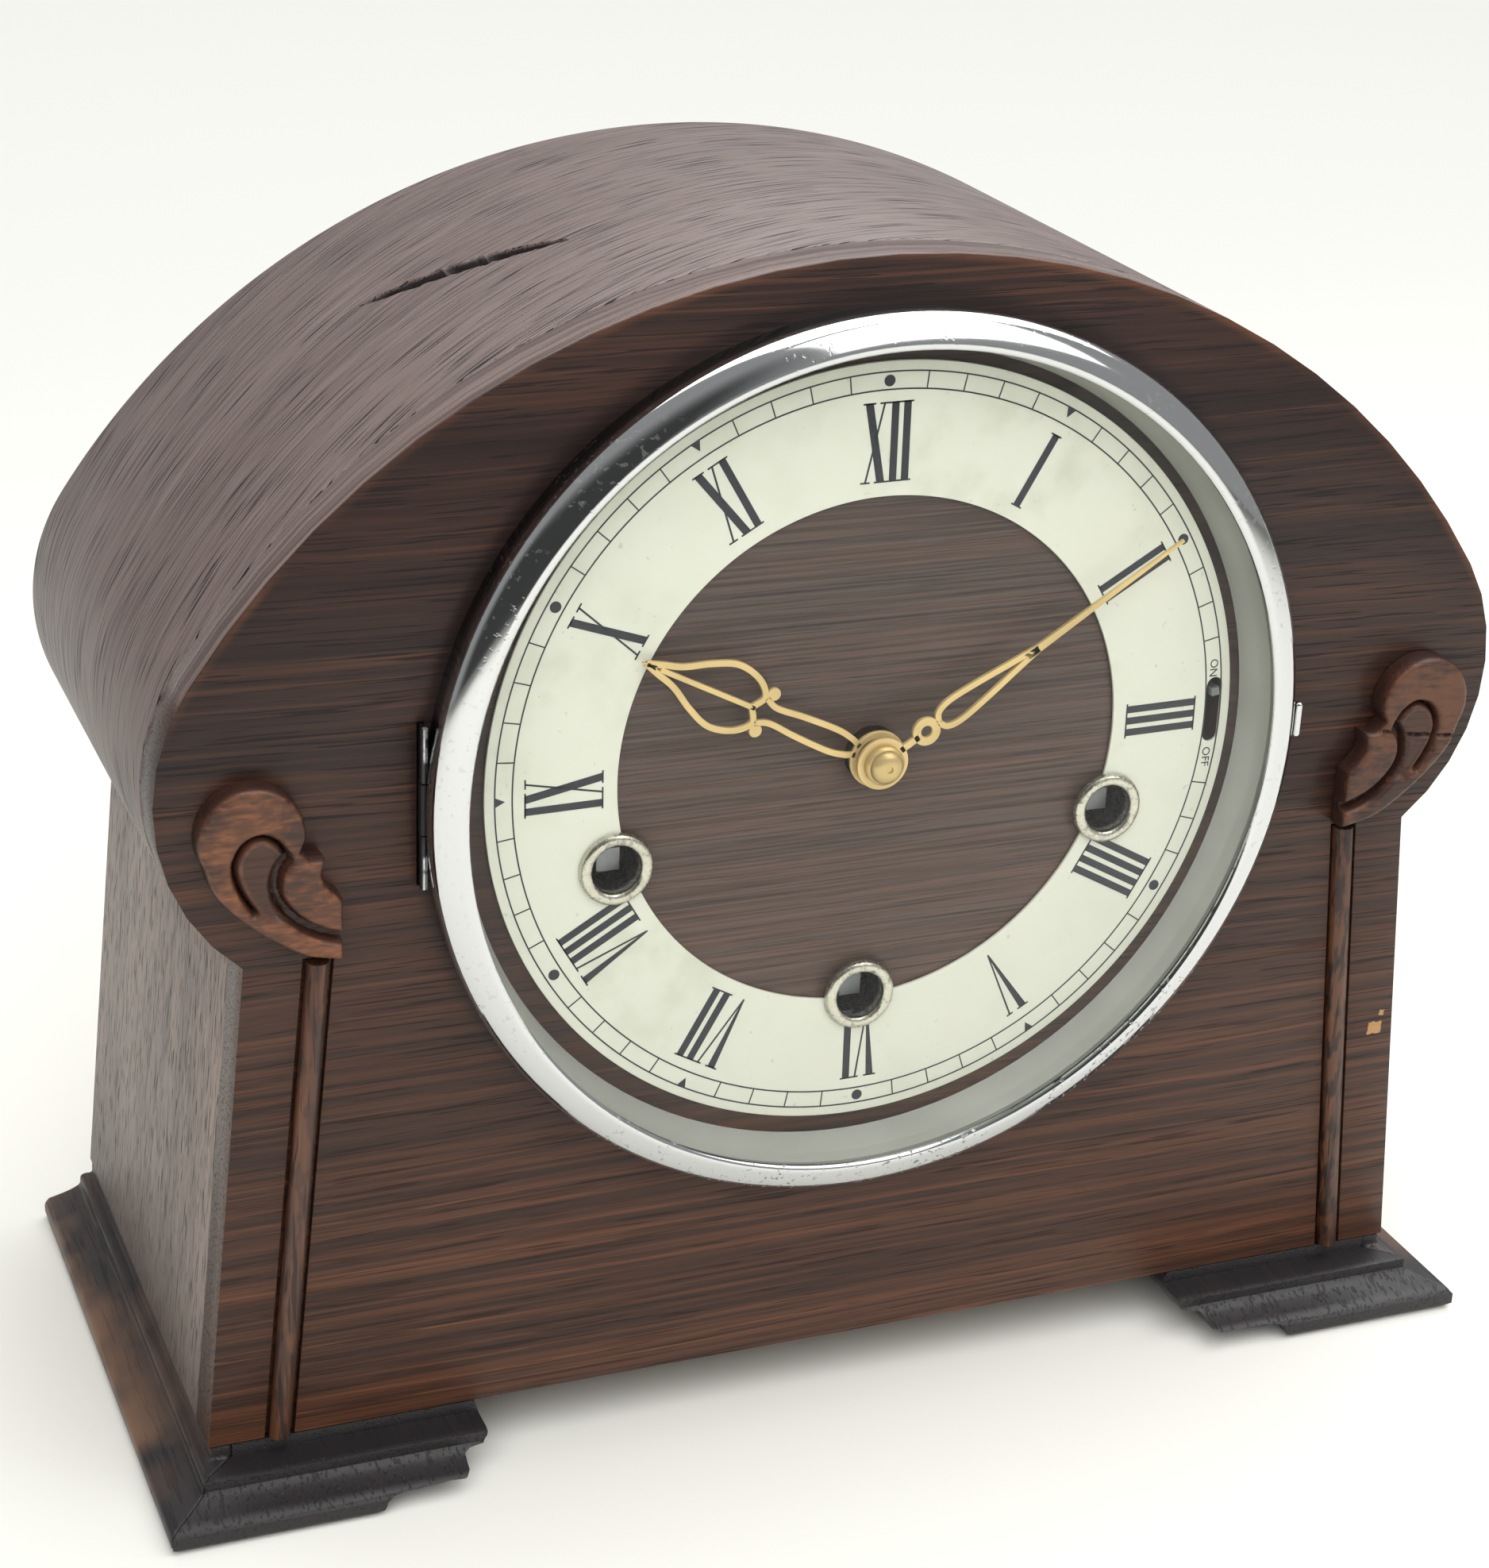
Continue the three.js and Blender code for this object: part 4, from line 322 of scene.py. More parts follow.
def make_front_oak():
    tones = ("oak_dark", "oak_mid", "oak_warm")
    paint, colour, roughness, normal = oak("oak_front", "xzy", tones, 0.6, 1.0, 0.4, 0.14, 1.5)
    x, y, z = paint.place()
    inside = outline_depth(x, z)
    patch = paint.speckle(30, 3)
    # Darker patches near the shoulders; painted shade at the crown, painted light paler low down
    shoulder_darkening = inside.rise(0.03, 0.0) * abs(x).rise(0.07, 0.125) * patch.rise(0.3, 0.6)
    colour = paint.mix(shoulder_darkening * 0.55, colour, "oak_dark")
    # Painted shade: darker towards the top of the panel
    colour = paint.mix(z.rise(0.15, 0.215) * 0.35, colour, "oak_dark")
    lines = paint.noise(x * 10, y * 800, z * 800, 4, 0.6)
    # Warm grain streaks with painted light: paler lower down
    warm_streaks_and_low_glow = (lines.rise(0.42, 0.66) * 0.8 + 0.2) * z.rise(0.17, 0.03)
    colour = paint.mix(warm_streaks_and_low_glow * 0.3, colour, "oak_warm")
    # Painted shadow and dirt beside the bezel, and a painted glass reflection behind the glass
    around = dial_distance(x, z)
    # Painted shadow and dirt: a dark ring just outside the bezel
    beside = around.rise(0.0875, 0.0845) * around.rise(0.077, 0.08)
    colour = paint.mix(beside * 0.6, colour, "oak_pore")
    threads = paint.noise(x * 14, y * 1700, z * 1700, 4, 0.6)
    # Painted reflection of the glass: paler grey streaks on the wood inside the chapter ring
    painted_glass_haze = around.rise(0.05, 0.0485) * (threads.rise(0.35, 0.65) * 0.7 + 0.3)
    colour = paint.mix(painted_glass_haze * 0.27, colour, "side_mid")
    # Worn arris and the chips
    worn = inside.rise(0.0018, 0.0002) * patch.rise(0.35, 0.65)
    colour = paint.mix(worn * (z.rise(0.12, 0.08) * 0.3 + 0.3), colour, "oak_warm")
    ragged = (paint.speckle(900, 2) - 0.5) * 0.0012
    chip, crumb = (paint.patch(x + ragged, z + ragged, *spot) for spot in CHIPS)
    colour = paint.mix(chip.most(crumb) * 0.9, colour, "bare")
    # Edge of the panel, faded like the board behind it
    fibres = paint.noise(x * 20, y * 1100, z * 20, 3)
    faded = paint.mix(z.rise(0.13, 0.1), "arch_mid", "side_mid")
    rim = paint.mix(fibres.rise(0.35, 0.65), "arch_dark", faded)
    edge = inside.rise(0.0004, 0.0001) * (y - FACE_Y).rise(0.0003, 0.0008)
    colour = paint.mix(edge, colour, rim)
    varnish = {"specular_ior_level": 0.3, "coat_weight": 0.12, "coat_roughness": 0.2}
    return paint.surface(colour, roughness, 0, normal, **varnish)


def make_arch_oak():
    tones = ("arch_dark", "arch_mid", "side_mid")
    paint, colour, roughness, normal = oak("oak_arch", "bend", tones, 0.25, 1.3, 0.4, 0.3, 1.6, 0.5)
    s, y, r = paint.along("grain")
    # Painted shade: the split is darker where the surface is pressed in beside its line
    run = (s - SPLIT_FROM) / SPLIT_RUN
    start, end = SPLIT_START[1] * MM, SPLIT_END[1] * MM
    beside = abs(y - (start + run * (end - start))).rise(0.004, 0.0025)
    ends = run.rise(-0.05, 0.02) * run.rise(1.05, 0.98)
    colour = paint.mix(r.rise(0.0, 0.0007) * beside * ends * 0.95, colour, "oak_pore")
    return paint.surface(colour, roughness, 0, normal, coat_weight=0.12, coat_roughness=0.35)


def make_side_oak():
    tones = ("arch_dark", "side_mid", "arch_mid")
    paint, colour, roughness, normal = oak("oak_side", "zyx", tones, 0.4, 1.0, 0.44, 0.3, 1.3, 0.3)
    x, y, z = paint.place()
    # Darker towards the bottom beside the moulding: painted shade and dirt
    colour = paint.mix(z.rise(0.045, 0.014) * 0.5, colour, "arch_dark")
    return paint.surface(colour, roughness, 0, normal, coat_weight=0.12, coat_roughness=0.35)


def make_plinth_oak():
    tones = ("plinth_dark", "plinth_dark", "oak_mid")
    paint, colour, roughness, normal = oak("oak_plinth", "yxz", tones, 0.5, 0.7, 0.4)
    x, y, z = paint.place()
    patch = paint.speckle(45, 3)
    aside = abs(x).rise(0.118, 0.126) * (y - FACE_Y).rise(-0.006, 0.014)
    worn = (z.rise(0.0062, 0.0034) * 0.6 + 0.25) * patch.rise(0.32, 0.6) * aside
    colour = paint.mix(worn, colour, "plinth_worn")
    return paint.surface(colour, roughness, 0, normal, coat_weight=0.06, coat_roughness=0.35)


def make_carved_oak():
    tones = ("carved_dark", "oak_mid", "carved_warm")
    paint, colour, roughness, normal = oak("oak_carved", "xzy", tones, 0.8, 0.5, 0.38)
    x, y, z = paint.place()
    depth = y - FACE_Y
    proud = depth.rise(-0.0042, -0.0047)
    patch = paint.speckle(90, 4, 0.6)
    fleck = paint.noise(x * 260, y * 260, z * 900, 3)
    worn = (patch * 0.6 + fleck * 0.4).rise(0.36, 0.58)
    colour = paint.mix(worn * (proud * 0.65 + 0.2), colour, "carved_warm")
    # Worn flecks on the high parts, with painted light brightening the left-hand scroll more
    bright = (patch * 0.4 + fleck * 0.6).rise(0.5, 0.66) * x.rise(0.02, -0.11)
    colour = paint.mix(bright * proud * 0.7, colour, "oak_warm")
    # Painted shade: darker where the carving lies deep, in its cuts and down its walls
    colour = paint.mix(depth.rise(-0.0038, -0.0022) * 0.6, colour, "carved_dark")
    varnish = {"specular_ior_level": 0.35, "coat_weight": 0.15, "coat_roughness": 0.25}
    return paint.surface(colour, roughness, 0, normal, **varnish)


def make_reed_oak():
    tones = ("oak_mid", "carved_warm", "oak_warm")
    paint, colour, roughness, normal = oak("oak_reed", "zyx", tones, 0.8, 0.8, 0.4)
    x, y, z = paint.place()
    # Dark blotches in the grain, stronger on the right-hand reed as painted shade
    blotches_and_right_shade = paint.noise(x * 500, y * 500, z * 160, 3).rise(0.46, 0.6)
    colour = paint.mix(blotches_and_right_shade * (x.rise(-0.1, 0.1) * 0.35 + 0.5), colour, "oak_dark")
    return paint.surface(colour, roughness, 0, normal, coat_weight=0.2, coat_roughness=0.3)


def make_bronzed():
    """Dark stained hinge whose knuckles are bright metal along their left edge: wear and a painted highlight.
    """
    paint = Paint("bronzed")
    x, y, z = paint.place()
    grain = paint.speckle(500, 3)
    ends = abs(z - DIAL_Z * MM).rise(0.0085, 0.0095)
    # Painted highlight, broken up by wear: bright metal kept to a sliver on the knuckles' left edge
    left_edge_highlight = x.rise(-0.0851, -0.0848) * (y - FACE_Y).rise(-0.0016, -0.0022)
    bare = left_edge_highlight * grain.rise(0.3, 0.5) * ends
    colour = paint.mix(bare, "plinth_dark", "chrome")
    return paint.surface(colour, grain * 0.2 + 0.2, bare, paint.bump(grain, 0.2, 0.0002))


def make_ply():
    tones = ("oak_mid", "ply", "ply")
    paint, colour, roughness, normal = oak("ply", "xzy", tones, 0.4, 0.4, 0.6, 0.25)
    return paint.surface(colour, roughness, 0, normal)


def make_chrome():
    """Plating with pits low down, a dark hinge lug, and painted dark reflection and shade on the wall's upper
    half.
    """
    paint = Paint("chrome")
    x, y, z = paint.place()
    depth, rise = y - FACE_Y, z - DIAL_Z * MM
    low = rise.rise(-0.03, -0.075)
    specks = paint.speckle(900, 2).rise(0.6, 0.68)
    spread = paint.speckle(60, 2).rise(0.42, 0.6)
    pits = specks * spread * (low * 0.85 + 0.15)
    smear = paint.speckle(140, 3)
    colour = paint.mix(pits * 0.7, "chrome", "iron")
    lug = x.rise(-0.0838, -0.0841) * depth.rise(-0.0036, -0.0032)
    colour = paint.mix(lug, colour, "plinth_dark")
    # Painted dark reflection and shade on the upper half of the outer wall
    wall = dial_distance(x, z).rise(0.0815, 0.083) * depth.rise(-0.0064, -0.005)
    colour = paint.mix(wall * rise.rise(0.004, 0.014) * 0.7, colour, "plinth_dark")
    metallic = 1 - (pits * 0.5).most(lug * 0.95)
    roughness = smear * 0.06 + pits * 0.4 + lug * 0.5 + 0.05
    return paint.surface(colour, roughness, metallic, paint.bump(1 - pits, 0.3, 0.0002))


def brushed(name, tone, rough, streak, metal=1.0):
    paint = Paint(name)
    x, y, z = paint.place()
    lines = paint.noise(x * 900, y * 120, z * 4000, 2)
    stain = paint.speckle(55, 3)
    colour = paint.mix(stain.rise(0.62, 0.3) * 0.5, tone, finish_tint(tone, (0.55,) * 3))
    normal = paint.bump(lines, streak, 0.0001)
    return paint.surface(colour, lines * 0.12 + stain * 0.12 + rough, metal, normal)


def make_nickel():
    """Worn rim, with painted shade darkening the inside."""
    paint = Paint("nickel")
    x, y, z = paint.place()
    specks = paint.speckle(900, 3)
    stain = paint.speckle(260, 3)
    worn = specks.rise(0.56, 0.66) * 0.6 + stain.rise(0.55, 0.7) * 0.4
    # Painted shade: dark and less metallic deeper inside the ferrule
    painted_inner_shade = (y - FACE_Y).rise(-0.0016, 0.0004)
    colour = paint.mix(worn * 0.7, "nickel", "iron")
    colour = paint.mix(painted_inner_shade, colour, "plinth_dark")
    return paint.surface(colour, specks * 0.3 + 0.12, 1 - painted_inner_shade * 0.6, paint.bump(specks, 0.35, 0.0002))


def make_satin():
    paint = Paint("satin_grey")
    grain = paint.speckle(1500, 2)
    stain = paint.speckle(60, 3)
    colour = paint.mix(stain.rise(0.35, 0.7) * 0.6, "satin", finish_tint("satin", (0.8,) * 3))
    return paint.surface(colour, grain * 0.1 + 0.5, 0, paint.bump(grain, 0.1, 0.0001))


def make_silver():
    """Silvering with clouds, mottle and a few flecks."""
    paint = Paint("silvered_ring")
    mottle = paint.speckle(90, 4, 0.6)
    flecks = paint.speckle(700, 2).rise(0.7, 0.78)
    cloud = paint.speckle(18, 2)
    aged = mottle.rise(0.42, 0.75) * cloud.rise(0.3, 0.7) * 0.8
    colour = paint.mix(aged, "silver", finish_tint("silver", (0.8, 0.81, 0.76)))
    colour = paint.mix(flecks * 0.35, colour, "steel")
    grain = paint.speckle(2400, 1)
    return paint.surface(colour, mottle * 0.12 + 0.36, 0.12, paint.bump(grain, 0.08, 0.0001))


def make_ink():
    paint = Paint("dial_ink")
    wear = paint.speckle(800, 2)
    colour = paint.mix(wear.rise(0.5, 0.8) * 0.6, "ink", finish_tint("ink", (2.2,) * 3))
    return paint.surface(colour, wear * 0.15 + 0.32)


def make_glass():
    """Clear sheet with a faint mirror that stays weak at a flat angle."""
    paint = Paint("dial_glass")
    clear = paint.add("ShaderNodeBsdfTransparent", None, {"Color": (0.985, 0.99, 0.985, 1)})
    gloss = paint.add("ShaderNodeBsdfGlossy", None, {"Color": (1, 1, 1, 1), "Roughness": 0.015})
    edge = paint.add("ShaderNodeFresnel", None, {"IOR": 1.2}).least(0.3)
    shader = paint.add("ShaderNodeMixShader", None, {0: edge, 1: clear, 2: gloss})
    return paint.output(shader)


def make_iron():
    paint = Paint("cast_iron")
    skin = paint.speckle(420, 4, 0.65)
    colour = paint.mix(skin.rise(0.35, 0.65), finish_tint("iron", (0.5,) * 3), "iron")
    return paint.surface(colour, skin * 0.25 + 0.5, 0.5, paint.bump(skin, 0.4, 0.0005))


MAKERS = {
    "oak_front": make_front_oak,
    "oak_arch": make_arch_oak,
    "oak_side": make_side_oak,
    "oak_plinth": make_plinth_oak,
    "oak_carved": make_carved_oak,
    "oak_reed": make_reed_oak,
    "bronzed": make_bronzed,
    "ply": make_ply,
    "chrome": make_chrome,
    "satin": make_satin,
    "silver": make_silver,
    "ink": make_ink,
    "glass": make_glass,
    "gilt": lambda: brushed("gilt", "gilt", 0.3, 0.06, 0.45),
    "brass": lambda: brushed("brass", "brass", 0.28, 0.15),
    "polished": lambda: brushed("polished_brass", "gilt", 0.25, 0.06, 0.7),
    "nickel": make_nickel,
    "steel": lambda: brushed("steel", "steel", 0.3, 0.15),
    "iron": make_iron,
}


def finish(name):
    if name not in finishes:
        finishes[name] = MAKERS[name]()
    return finishes[name]


# Pieces
def placed(name, data):
    """A new object in the scene."""
    made = bpy.data.objects.new(name, data)
    bpy.context.scene.collection.objects.link(made)
    return made


def piece(bm, name, body, finish_name, nodes=(), angle=32, matrix=IN_PLACE):
    """Puts a mesh in place as a finished object that rides on a body."""
    if matrix:
        bmesh.ops.transform(bm, matrix=matrix, verts=bm.verts)
    mesh = bpy.data.meshes.new(name)
    bm.to_mesh(mesh)
    bm.free()
    mesh.polygons.foreach_set("use_smooth", [True] * len(mesh.polygons))
    mesh.set_sharp_from_angle(angle=math.radians(angle))
    mesh.materials.append(finish(finish_name))
    made = placed(name, mesh)
    if nodes:
        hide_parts(*nodes)
    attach(made, body)
    return made


EASED = {"offset_type": "OFFSET", "affect": "EDGES", "profile": 0.5, "material": -1}
SAME_SPOT = 2e-6
SAME_PLANE = math.radians(0.5)


def dressed(node, body, finish_name, edge, segments=2, sharp=30, angle=32):
    """A merged copy of a CAD node with its sharp edges eased, as a finished piece."""
    bm = bmesh.new()
    bm.from_mesh(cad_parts[node].data)
    bmesh.ops.remove_doubles(bm, verts=bm.verts, dist=SAME_SPOT)
    bmesh.ops.dissolve_limit(bm, angle_limit=SAME_PLANE, verts=bm.verts, edges=bm.edges)
    limit = math.radians(sharp)
    edges = [e for e in bm.edges if e.is_manifold and e.calc_face_angle(0) > limit]
    bmesh.ops.bevel(bm, geom=edges, offset=edge * MM, segments=segments, clamp_overlap=True, **EASED)
    return piece(bm, f"{node}_dressed", body, finish_name, [node], angle, None)


# Steps round a large, a middling and a small turned piece
LARGE_ROUND = 160
MIDDLE_ROUND = 128
SMALL_ROUND = 48


def turned(profile, steps, x=0.0, z=DIAL_Z, closed=True):
    """Profile of radius and depth spun about an axis along Y."""
    bm = bmesh.new()
    verts = [bm.verts.new((radius, y, 0)) for radius, y in profile]
    edges = [bm.edges.new(pair) for pair in zip(verts, verts[1:])]
    if closed:
        edges.append(bm.edges.new((verts[-1], verts[0])))
    about = {"cent": (0, 0, 0), "axis": (0, 1, 0), "dvec": (0, 0, 0), "angle": 2 * math.pi}
    bmesh.ops.spin(bm, geom=verts + edges, steps=steps, use_merge=True, use_duplicate=False, **about)
    bmesh.ops.remove_doubles(bm, verts=bm.verts, dist=1e-4)
    bmesh.ops.recalc_face_normals(bm, faces=bm.faces)
    bmesh.ops.translate(bm, verts=bm.verts, vec=(x, 0, z))
    return bm


def take_mesh(bm, curve, matrix):
    """Adds a curve's mesh and removes the curve."""
    holder = placed(curve.name, curve)
    bpy.context.view_layer.update()
    mesh = bpy.data.meshes.new_from_object(holder.evaluated_get(bpy.context.evaluated_depsgraph_get()))
    mesh.transform(matrix)
    bm.from_mesh(mesh)
    bpy.data.meshes.remove(mesh)
    bpy.data.objects.remove(holder)
    bpy.data.curves.remove(curve)


def flat(bm, loops, thickness, ease, matrix):
    """Adds a flat plate with closed outlines, the first outside and the rest holes, with eased edges."""
    curve = bpy.data.curves.new("outline", "CURVE")
    curve.dimensions = "2D"
    curve.fill_mode = "BOTH"
    for loop in loops:
        spline = curve.splines.new("POLY")
        spline.points.add(len(loop) - 1)
        for point, (x, y) in zip(spline.points, loop):
            point.co = (x, y, 0, 1)
        spline.use_cyclic_u = True
    curve.extrude = thickness / 2 - ease
    curve.bevel_depth = ease
    curve.bevel_resolution = 1
    curve.offset = -ease
    take_mesh(bm, curve, matrix)


def arc(x, y, radius, start, end, steps):
    """Points on an arc, angles in degrees."""
    turns = [math.radians(start + (end - start) * i / steps) for i in range(steps + 1)]
    return [(x + radius * math.cos(t), y + radius * math.sin(t)) for t in turns]


def smooth_path(points, steps):
    """Points along a smooth curve through the given ones."""
    spots = [Vector(p) for p in points]
    spots = [2 * spots[0] - spots[1], *spots, 2 * spots[-1] - spots[-2]]
    path = []
    for i in range(1, len(spots) - 2):
        a, b, c, d = spots[i - 1 : i + 3]
        for k in range(steps):
            t = k / steps
            square, cube = t * t, t * t * t
            spot = 2 * b + (c - a) * t + (2 * a - 5 * b + 4 * c - d) * square + (3 * b - a - 3 * c + d) * cube
            path.append(spot / 2)
    path.append(spots[-2])
    return path


def ribbon(points, width, steps=8, taper=None):
    """Closed outline of a strip along a smooth curve; taper is the width at its end."""
    path = smooth_path(points, steps)
    left, right = [], []
    for i, spot in enumerate(path):
        ahead = path[min(i + 1, len(path) - 1)] - path[max(i - 1, 0)]
        share = i / (len(path) - 1)
        half = (width + ((taper or width) - width) * share) / 2
        side = Vector((-ahead.y, ahead.x)).normalized() * half
        left.append(tuple(spot + side))
        right.append(tuple(spot - side))
    return left + right[::-1]


# Case
class CLOCK_OT_front(bpy.types.Operator):
    """Front panel with its eased edge"""

    bl_idname = "clock.front"
    bl_label = "Front Panel"

    def execute(self, context):
        dressed("front_panel", "case", "oak_front", sizes()["arris"])
        return {"FINISHED"}


# Turn of the shoulders below the level at the necks, and steps along crown and shoulder
NECK_TURN = 51.5
CROWN_STEPS = 240
SHOULDER_STEPS = 36


def arch_path(size, drop):
    """Section of the bent top from the right neck to the left one, with the arc length from the crown."""
    crown, shoulder = size["crown_radius"], size["shoulder_radius"]
    x, z = size["shoulder_x"], size["shoulder_height"]
    tangent = math.degrees(math.atan2(z - size["crown_height"], x))
    right = arc(x, z, shoulder - drop, -NECK_TURN, tangent, SHOULDER_STEPS)
    top = arc(0, size["crown_height"], crown - drop, tangent, 180 - tangent, CROWN_STEPS)
    left = [(-px, pz) for px, pz in reversed(right)]
    middle = math.radians(90 - tangent) * crown
    end = middle + math.radians(NECK_TURN + tangent) * shoulder
    fall = np.linspace(end, middle, SHOULDER_STEPS + 1)
    lengths = [*fall, *np.linspace(middle, -middle, CROWN_STEPS + 1)[1:], *(-fall[::-1])[1:]]
    return right + top[1:] + left[1:], lengths


# Drying split in the crown's left half: ends in plan, and rows of cuts beside its line
SPLIT_START = (-76.2, 65.0)
SPLIT_END = (-44.1, 47.8)
SPLIT_ROWS = (-3.2, -2.7, -2.2, -1.8, -1.4, -1, -0.5, 0, 0.5, 1, 1.4, 1.8, 2.2, 2.7, 3.2)
SPLIT_HALF = 2.4
SPLIT_DEPTH = 3.2
SPLIT_MARGIN = 3
# Its start and its run along the bend, in metres
SPLIT_FROM = -0.0804
SPLIT_RUN = 0.0356


class CLOCK_OT_arch(bpy.types.Operator):
    """Bent board over the top, with the grain following the bend"""

    bl_idname = "clock.arch"
    bl_label = "Arch Board"

    def execute(self, context):
        size = sizes()
        low, high = (Vector(corner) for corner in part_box("arch_board"))
        front, rear = (low.y - FACE_Y) / MM, (high.y - FACE_Y) / MM
        outer, lengths = arch_path(size, 0)
        inner, _ = arch_path(size, size["arch_thickness"])
        bm = bmesh.new()
        rows = [[bm.verts.new((x, front, z)) for x, z in path] for path in (outer, inner)]
        sides = [[bm.edges.new(pair) for pair in zip(row, row[1:])] for row in rows]
        bmesh.ops.bridge_loops(bm, edges=sides[0] + sides[1])
        run = bmesh.ops.extrude_face_region(bm, geom=list(bm.faces))
        moved = [g for g in run["geom"] if isinstance(g, bmesh.types.BMVert)]
        bmesh.ops.translate(bm, verts=moved, vec=(0, rear - front, 0))
        bmesh.ops.recalc_face_normals(bm, faces=bm.faces)
        edges = [e for e in bm.edges if e.calc_face_angle(0) > math.radians(40)]
        bmesh.ops.bevel(bm, geom=edges, offset=size["arris"], segments=3, **EASED)
        self.split(bm, size["crown_radius"], Vector((0, 0, size["crown_height"])))
        made = piece(bm, "arch_board_dressed", "case", "oak_arch", ["arch_board"])
        self.lay_grain(made.data, outer, lengths)
        return {"FINISHED"}

    def split(self, bm, radius, centre):
        """Cuts rows along the split and presses them in, deepest in the middle."""
        start, end = Vector(SPLIT_START), Vector(SPLIT_END)
        slant = (start.y - end.y) / (end.x - start.x)
        level = start.y + slant * start.x
        low, high = start.x - SPLIT_MARGIN, end.x + SPLIT_MARGIN
        for offset in SPLIT_ROWS:
            faces = [face for face in bm.faces if self.on_crown(face, radius, centre, low, high)]
            edges = dict.fromkeys(edge for face in faces for edge in face.edges)
            verts = dict.fromkeys(vert for face in faces for vert in face.verts)
            plane = {"plane_co": (0, level + offset, 0), "plane_no": (slant, 1, 0)}
            bmesh.ops.bisect_plane(bm, geom=[*faces, *edges, *verts], dist=1e-5, **plane)
        for vert in bm.verts:
            out = Vector((vert.co.x, 0, vert.co.z - centre.z))
            run = (vert.co.x - start.x) / (end.x - start.x)
            if abs(out.length - radius) < 0.01 and 0 < run < 1:
                aside = abs(vert.co.y + slant * vert.co.x - level)
                ragged = 1 + 0.3 * math.sin(vert.co.x * 5.1) * math.cos(vert.co.x * 2.3)
                half = SPLIT_HALF * ragged * math.sqrt(4 * run * (1 - run))
                vert.co -= out.normalized() * SPLIT_DEPTH * min(max(0, 2 - 2 * aside / half), 1)

    def on_crown(self, face, radius, centre, low, high):
        """True for a face of the crown's outside between two sideways limits."""
        spot = face.calc_center_median()
        out = Vector((spot.x, 0, spot.z - centre.z))
        return low < spot.x < high and out.length > radius - 0.3 and out.normalized().dot(face.normal) > 0.9

    def lay_grain(self, mesh, outer, lengths):
        """Keeps arc length, depth and distance from the outer face with each vertex."""
        grain = mesh.attributes.new("grain", "FLOAT_VECTOR", "POINT")
        line = np.array(outer)
        for vertex, kept in zip(mesh.vertices, grain.data):
            x, y, z = vertex.co.x / MM, (vertex.co.y - FACE_Y) / MM, vertex.co.z / MM
            gaps = np.hypot(line[:, 0] - x, line[:, 1] - z)
            near = int(gaps.argmin())
            kept.vector = (lengths[near] * MM, y * MM, gaps[near] * MM)


class CLOCK_OT_sides(bpy.types.Operator):
    """Leaning side panels and the base board"""

    bl_idname = "clock.sides"
    bl_label = "Sides and Base"

    def execute(self, context):
        ease = sizes()["arris"]
        dressed("side_panel_left", "case", "oak_side", ease)
        dressed("side_panel_right", "case", "oak_side", ease)
        dressed("base_board", "case", "ply", ease)
        return {"FINISHED"}


class CLOCK_OT_plinth(bpy.types.Operator):
    """Side mouldings and the short front brackets mitred to them"""

    bl_idname = "clock.plinth"
    bl_label = "Plinth"

    def execute(self, context):
        for node in ("moulding_left", "moulding_right", "bracket_left", "bracket_right"):
            dressed(node, "case", "oak_plinth", 0.7, 3, 38, 34)
        return {"FINISHED"}


# Outline of the right-hand scroll, up its inner edge, round the lobe and down the tail
SCROLL_HOLLOW = ((99.6, 121.1), (101.6, 123), (103.1, 125.5), (102.6, 128.9))
SCROLL_NOTCH = ((105.2, 129.1), (106.8, 130.7))
SCROLL_LOBE = (115.2, 133.9, 9.4)
SCROLL_TAIL = ((121.6, 124.1), (116.2, 118.1), (110.4, 113.5), (105.8, 110.9), (99.6, 109.5))

# Its cuts, each with half the width of its floor, the leaf between them and the crack
UPPER_START = ((109.3, 130.6), (110.8, 132.8), (113.4, 134.2), (116.4, 133.2))
UPPER_CUT = (*UPPER_START, (118.2, 130.2), (118.2, 127.2), (117, 123.8), (115, 120.4))
LOWER_START = ((109.4, 129.6), (110.9, 127.2), (111.2, 123.6), (109.7, 120.2))
LOWER_CUT = (*LOWER_START, (106.6, 117), (103, 114.9), (98.6, 113.5))
SCROLL_CUTS = ((UPPER_CUT, 0.15), (LOWER_CUT, 0.7))
SCROLL_LEAF = (*UPPER_CUT, (112.5, 118), (109.2, 118), *reversed(LOWER_START))
SCROLL_CRACK = ((106.4, 129.2), (110.2, 128), (115, 127.2), (123, 126.6))

SCROLL_GRID = (96, 128)
GRID_MARGIN = 0.4
SCROLL_BACK = -0.3
SCROLL_HEIGHT = 4.7
LEAF_SINK = 0.8
LEAF_SLOPE = 1.6
EDGE_ROUND = 1.1
EDGE_LOW = 0.72
CUT_ROUND = 1.3
CUT_LOW = 0.45
CRACK_RISE = 0.25


def scroll_outline():
    lobe = arc(*SCROLL_LOBE, 185, -28, 40)
    tail = smooth_path([lobe[-1], *SCROLL_TAIL], 8)
    return [tuple(spot) for spot in (*smooth_path(SCROLL_HOLLOW, 6), *SCROLL_NOTCH, *lobe, *tail[1:])]


def rounded(gap, width):
    """Quarter round from 0 at the edge to 1 at its width."""
    return np.sqrt(1 - (1 - np.clip(gap / width, 0, 1)) ** 2)


def nearest(points, line, closed):
    """Distance from each point to a line of points, and the nearest spot on it."""
    ends = np.array(line)
    starts = ends if closed else ends[:-1]
    stops = np.roll(ends, -1, axis=0) if closed else ends[1:]
    spans = stops - starts
    offset = points[:, None, :] - starts[None]
    share = (offset * spans).sum(2) / (spans**2).sum(1)
    spots = starts[None] + np.clip(share, 0, 1)[..., None] * spans[None]
    gaps = np.linalg.norm(points[:, None, :] - spots, axis=2)
    best = gaps.argmin(1)
    rows = np.arange(len(points))
    return gaps[rows, best], spots[rows, best]


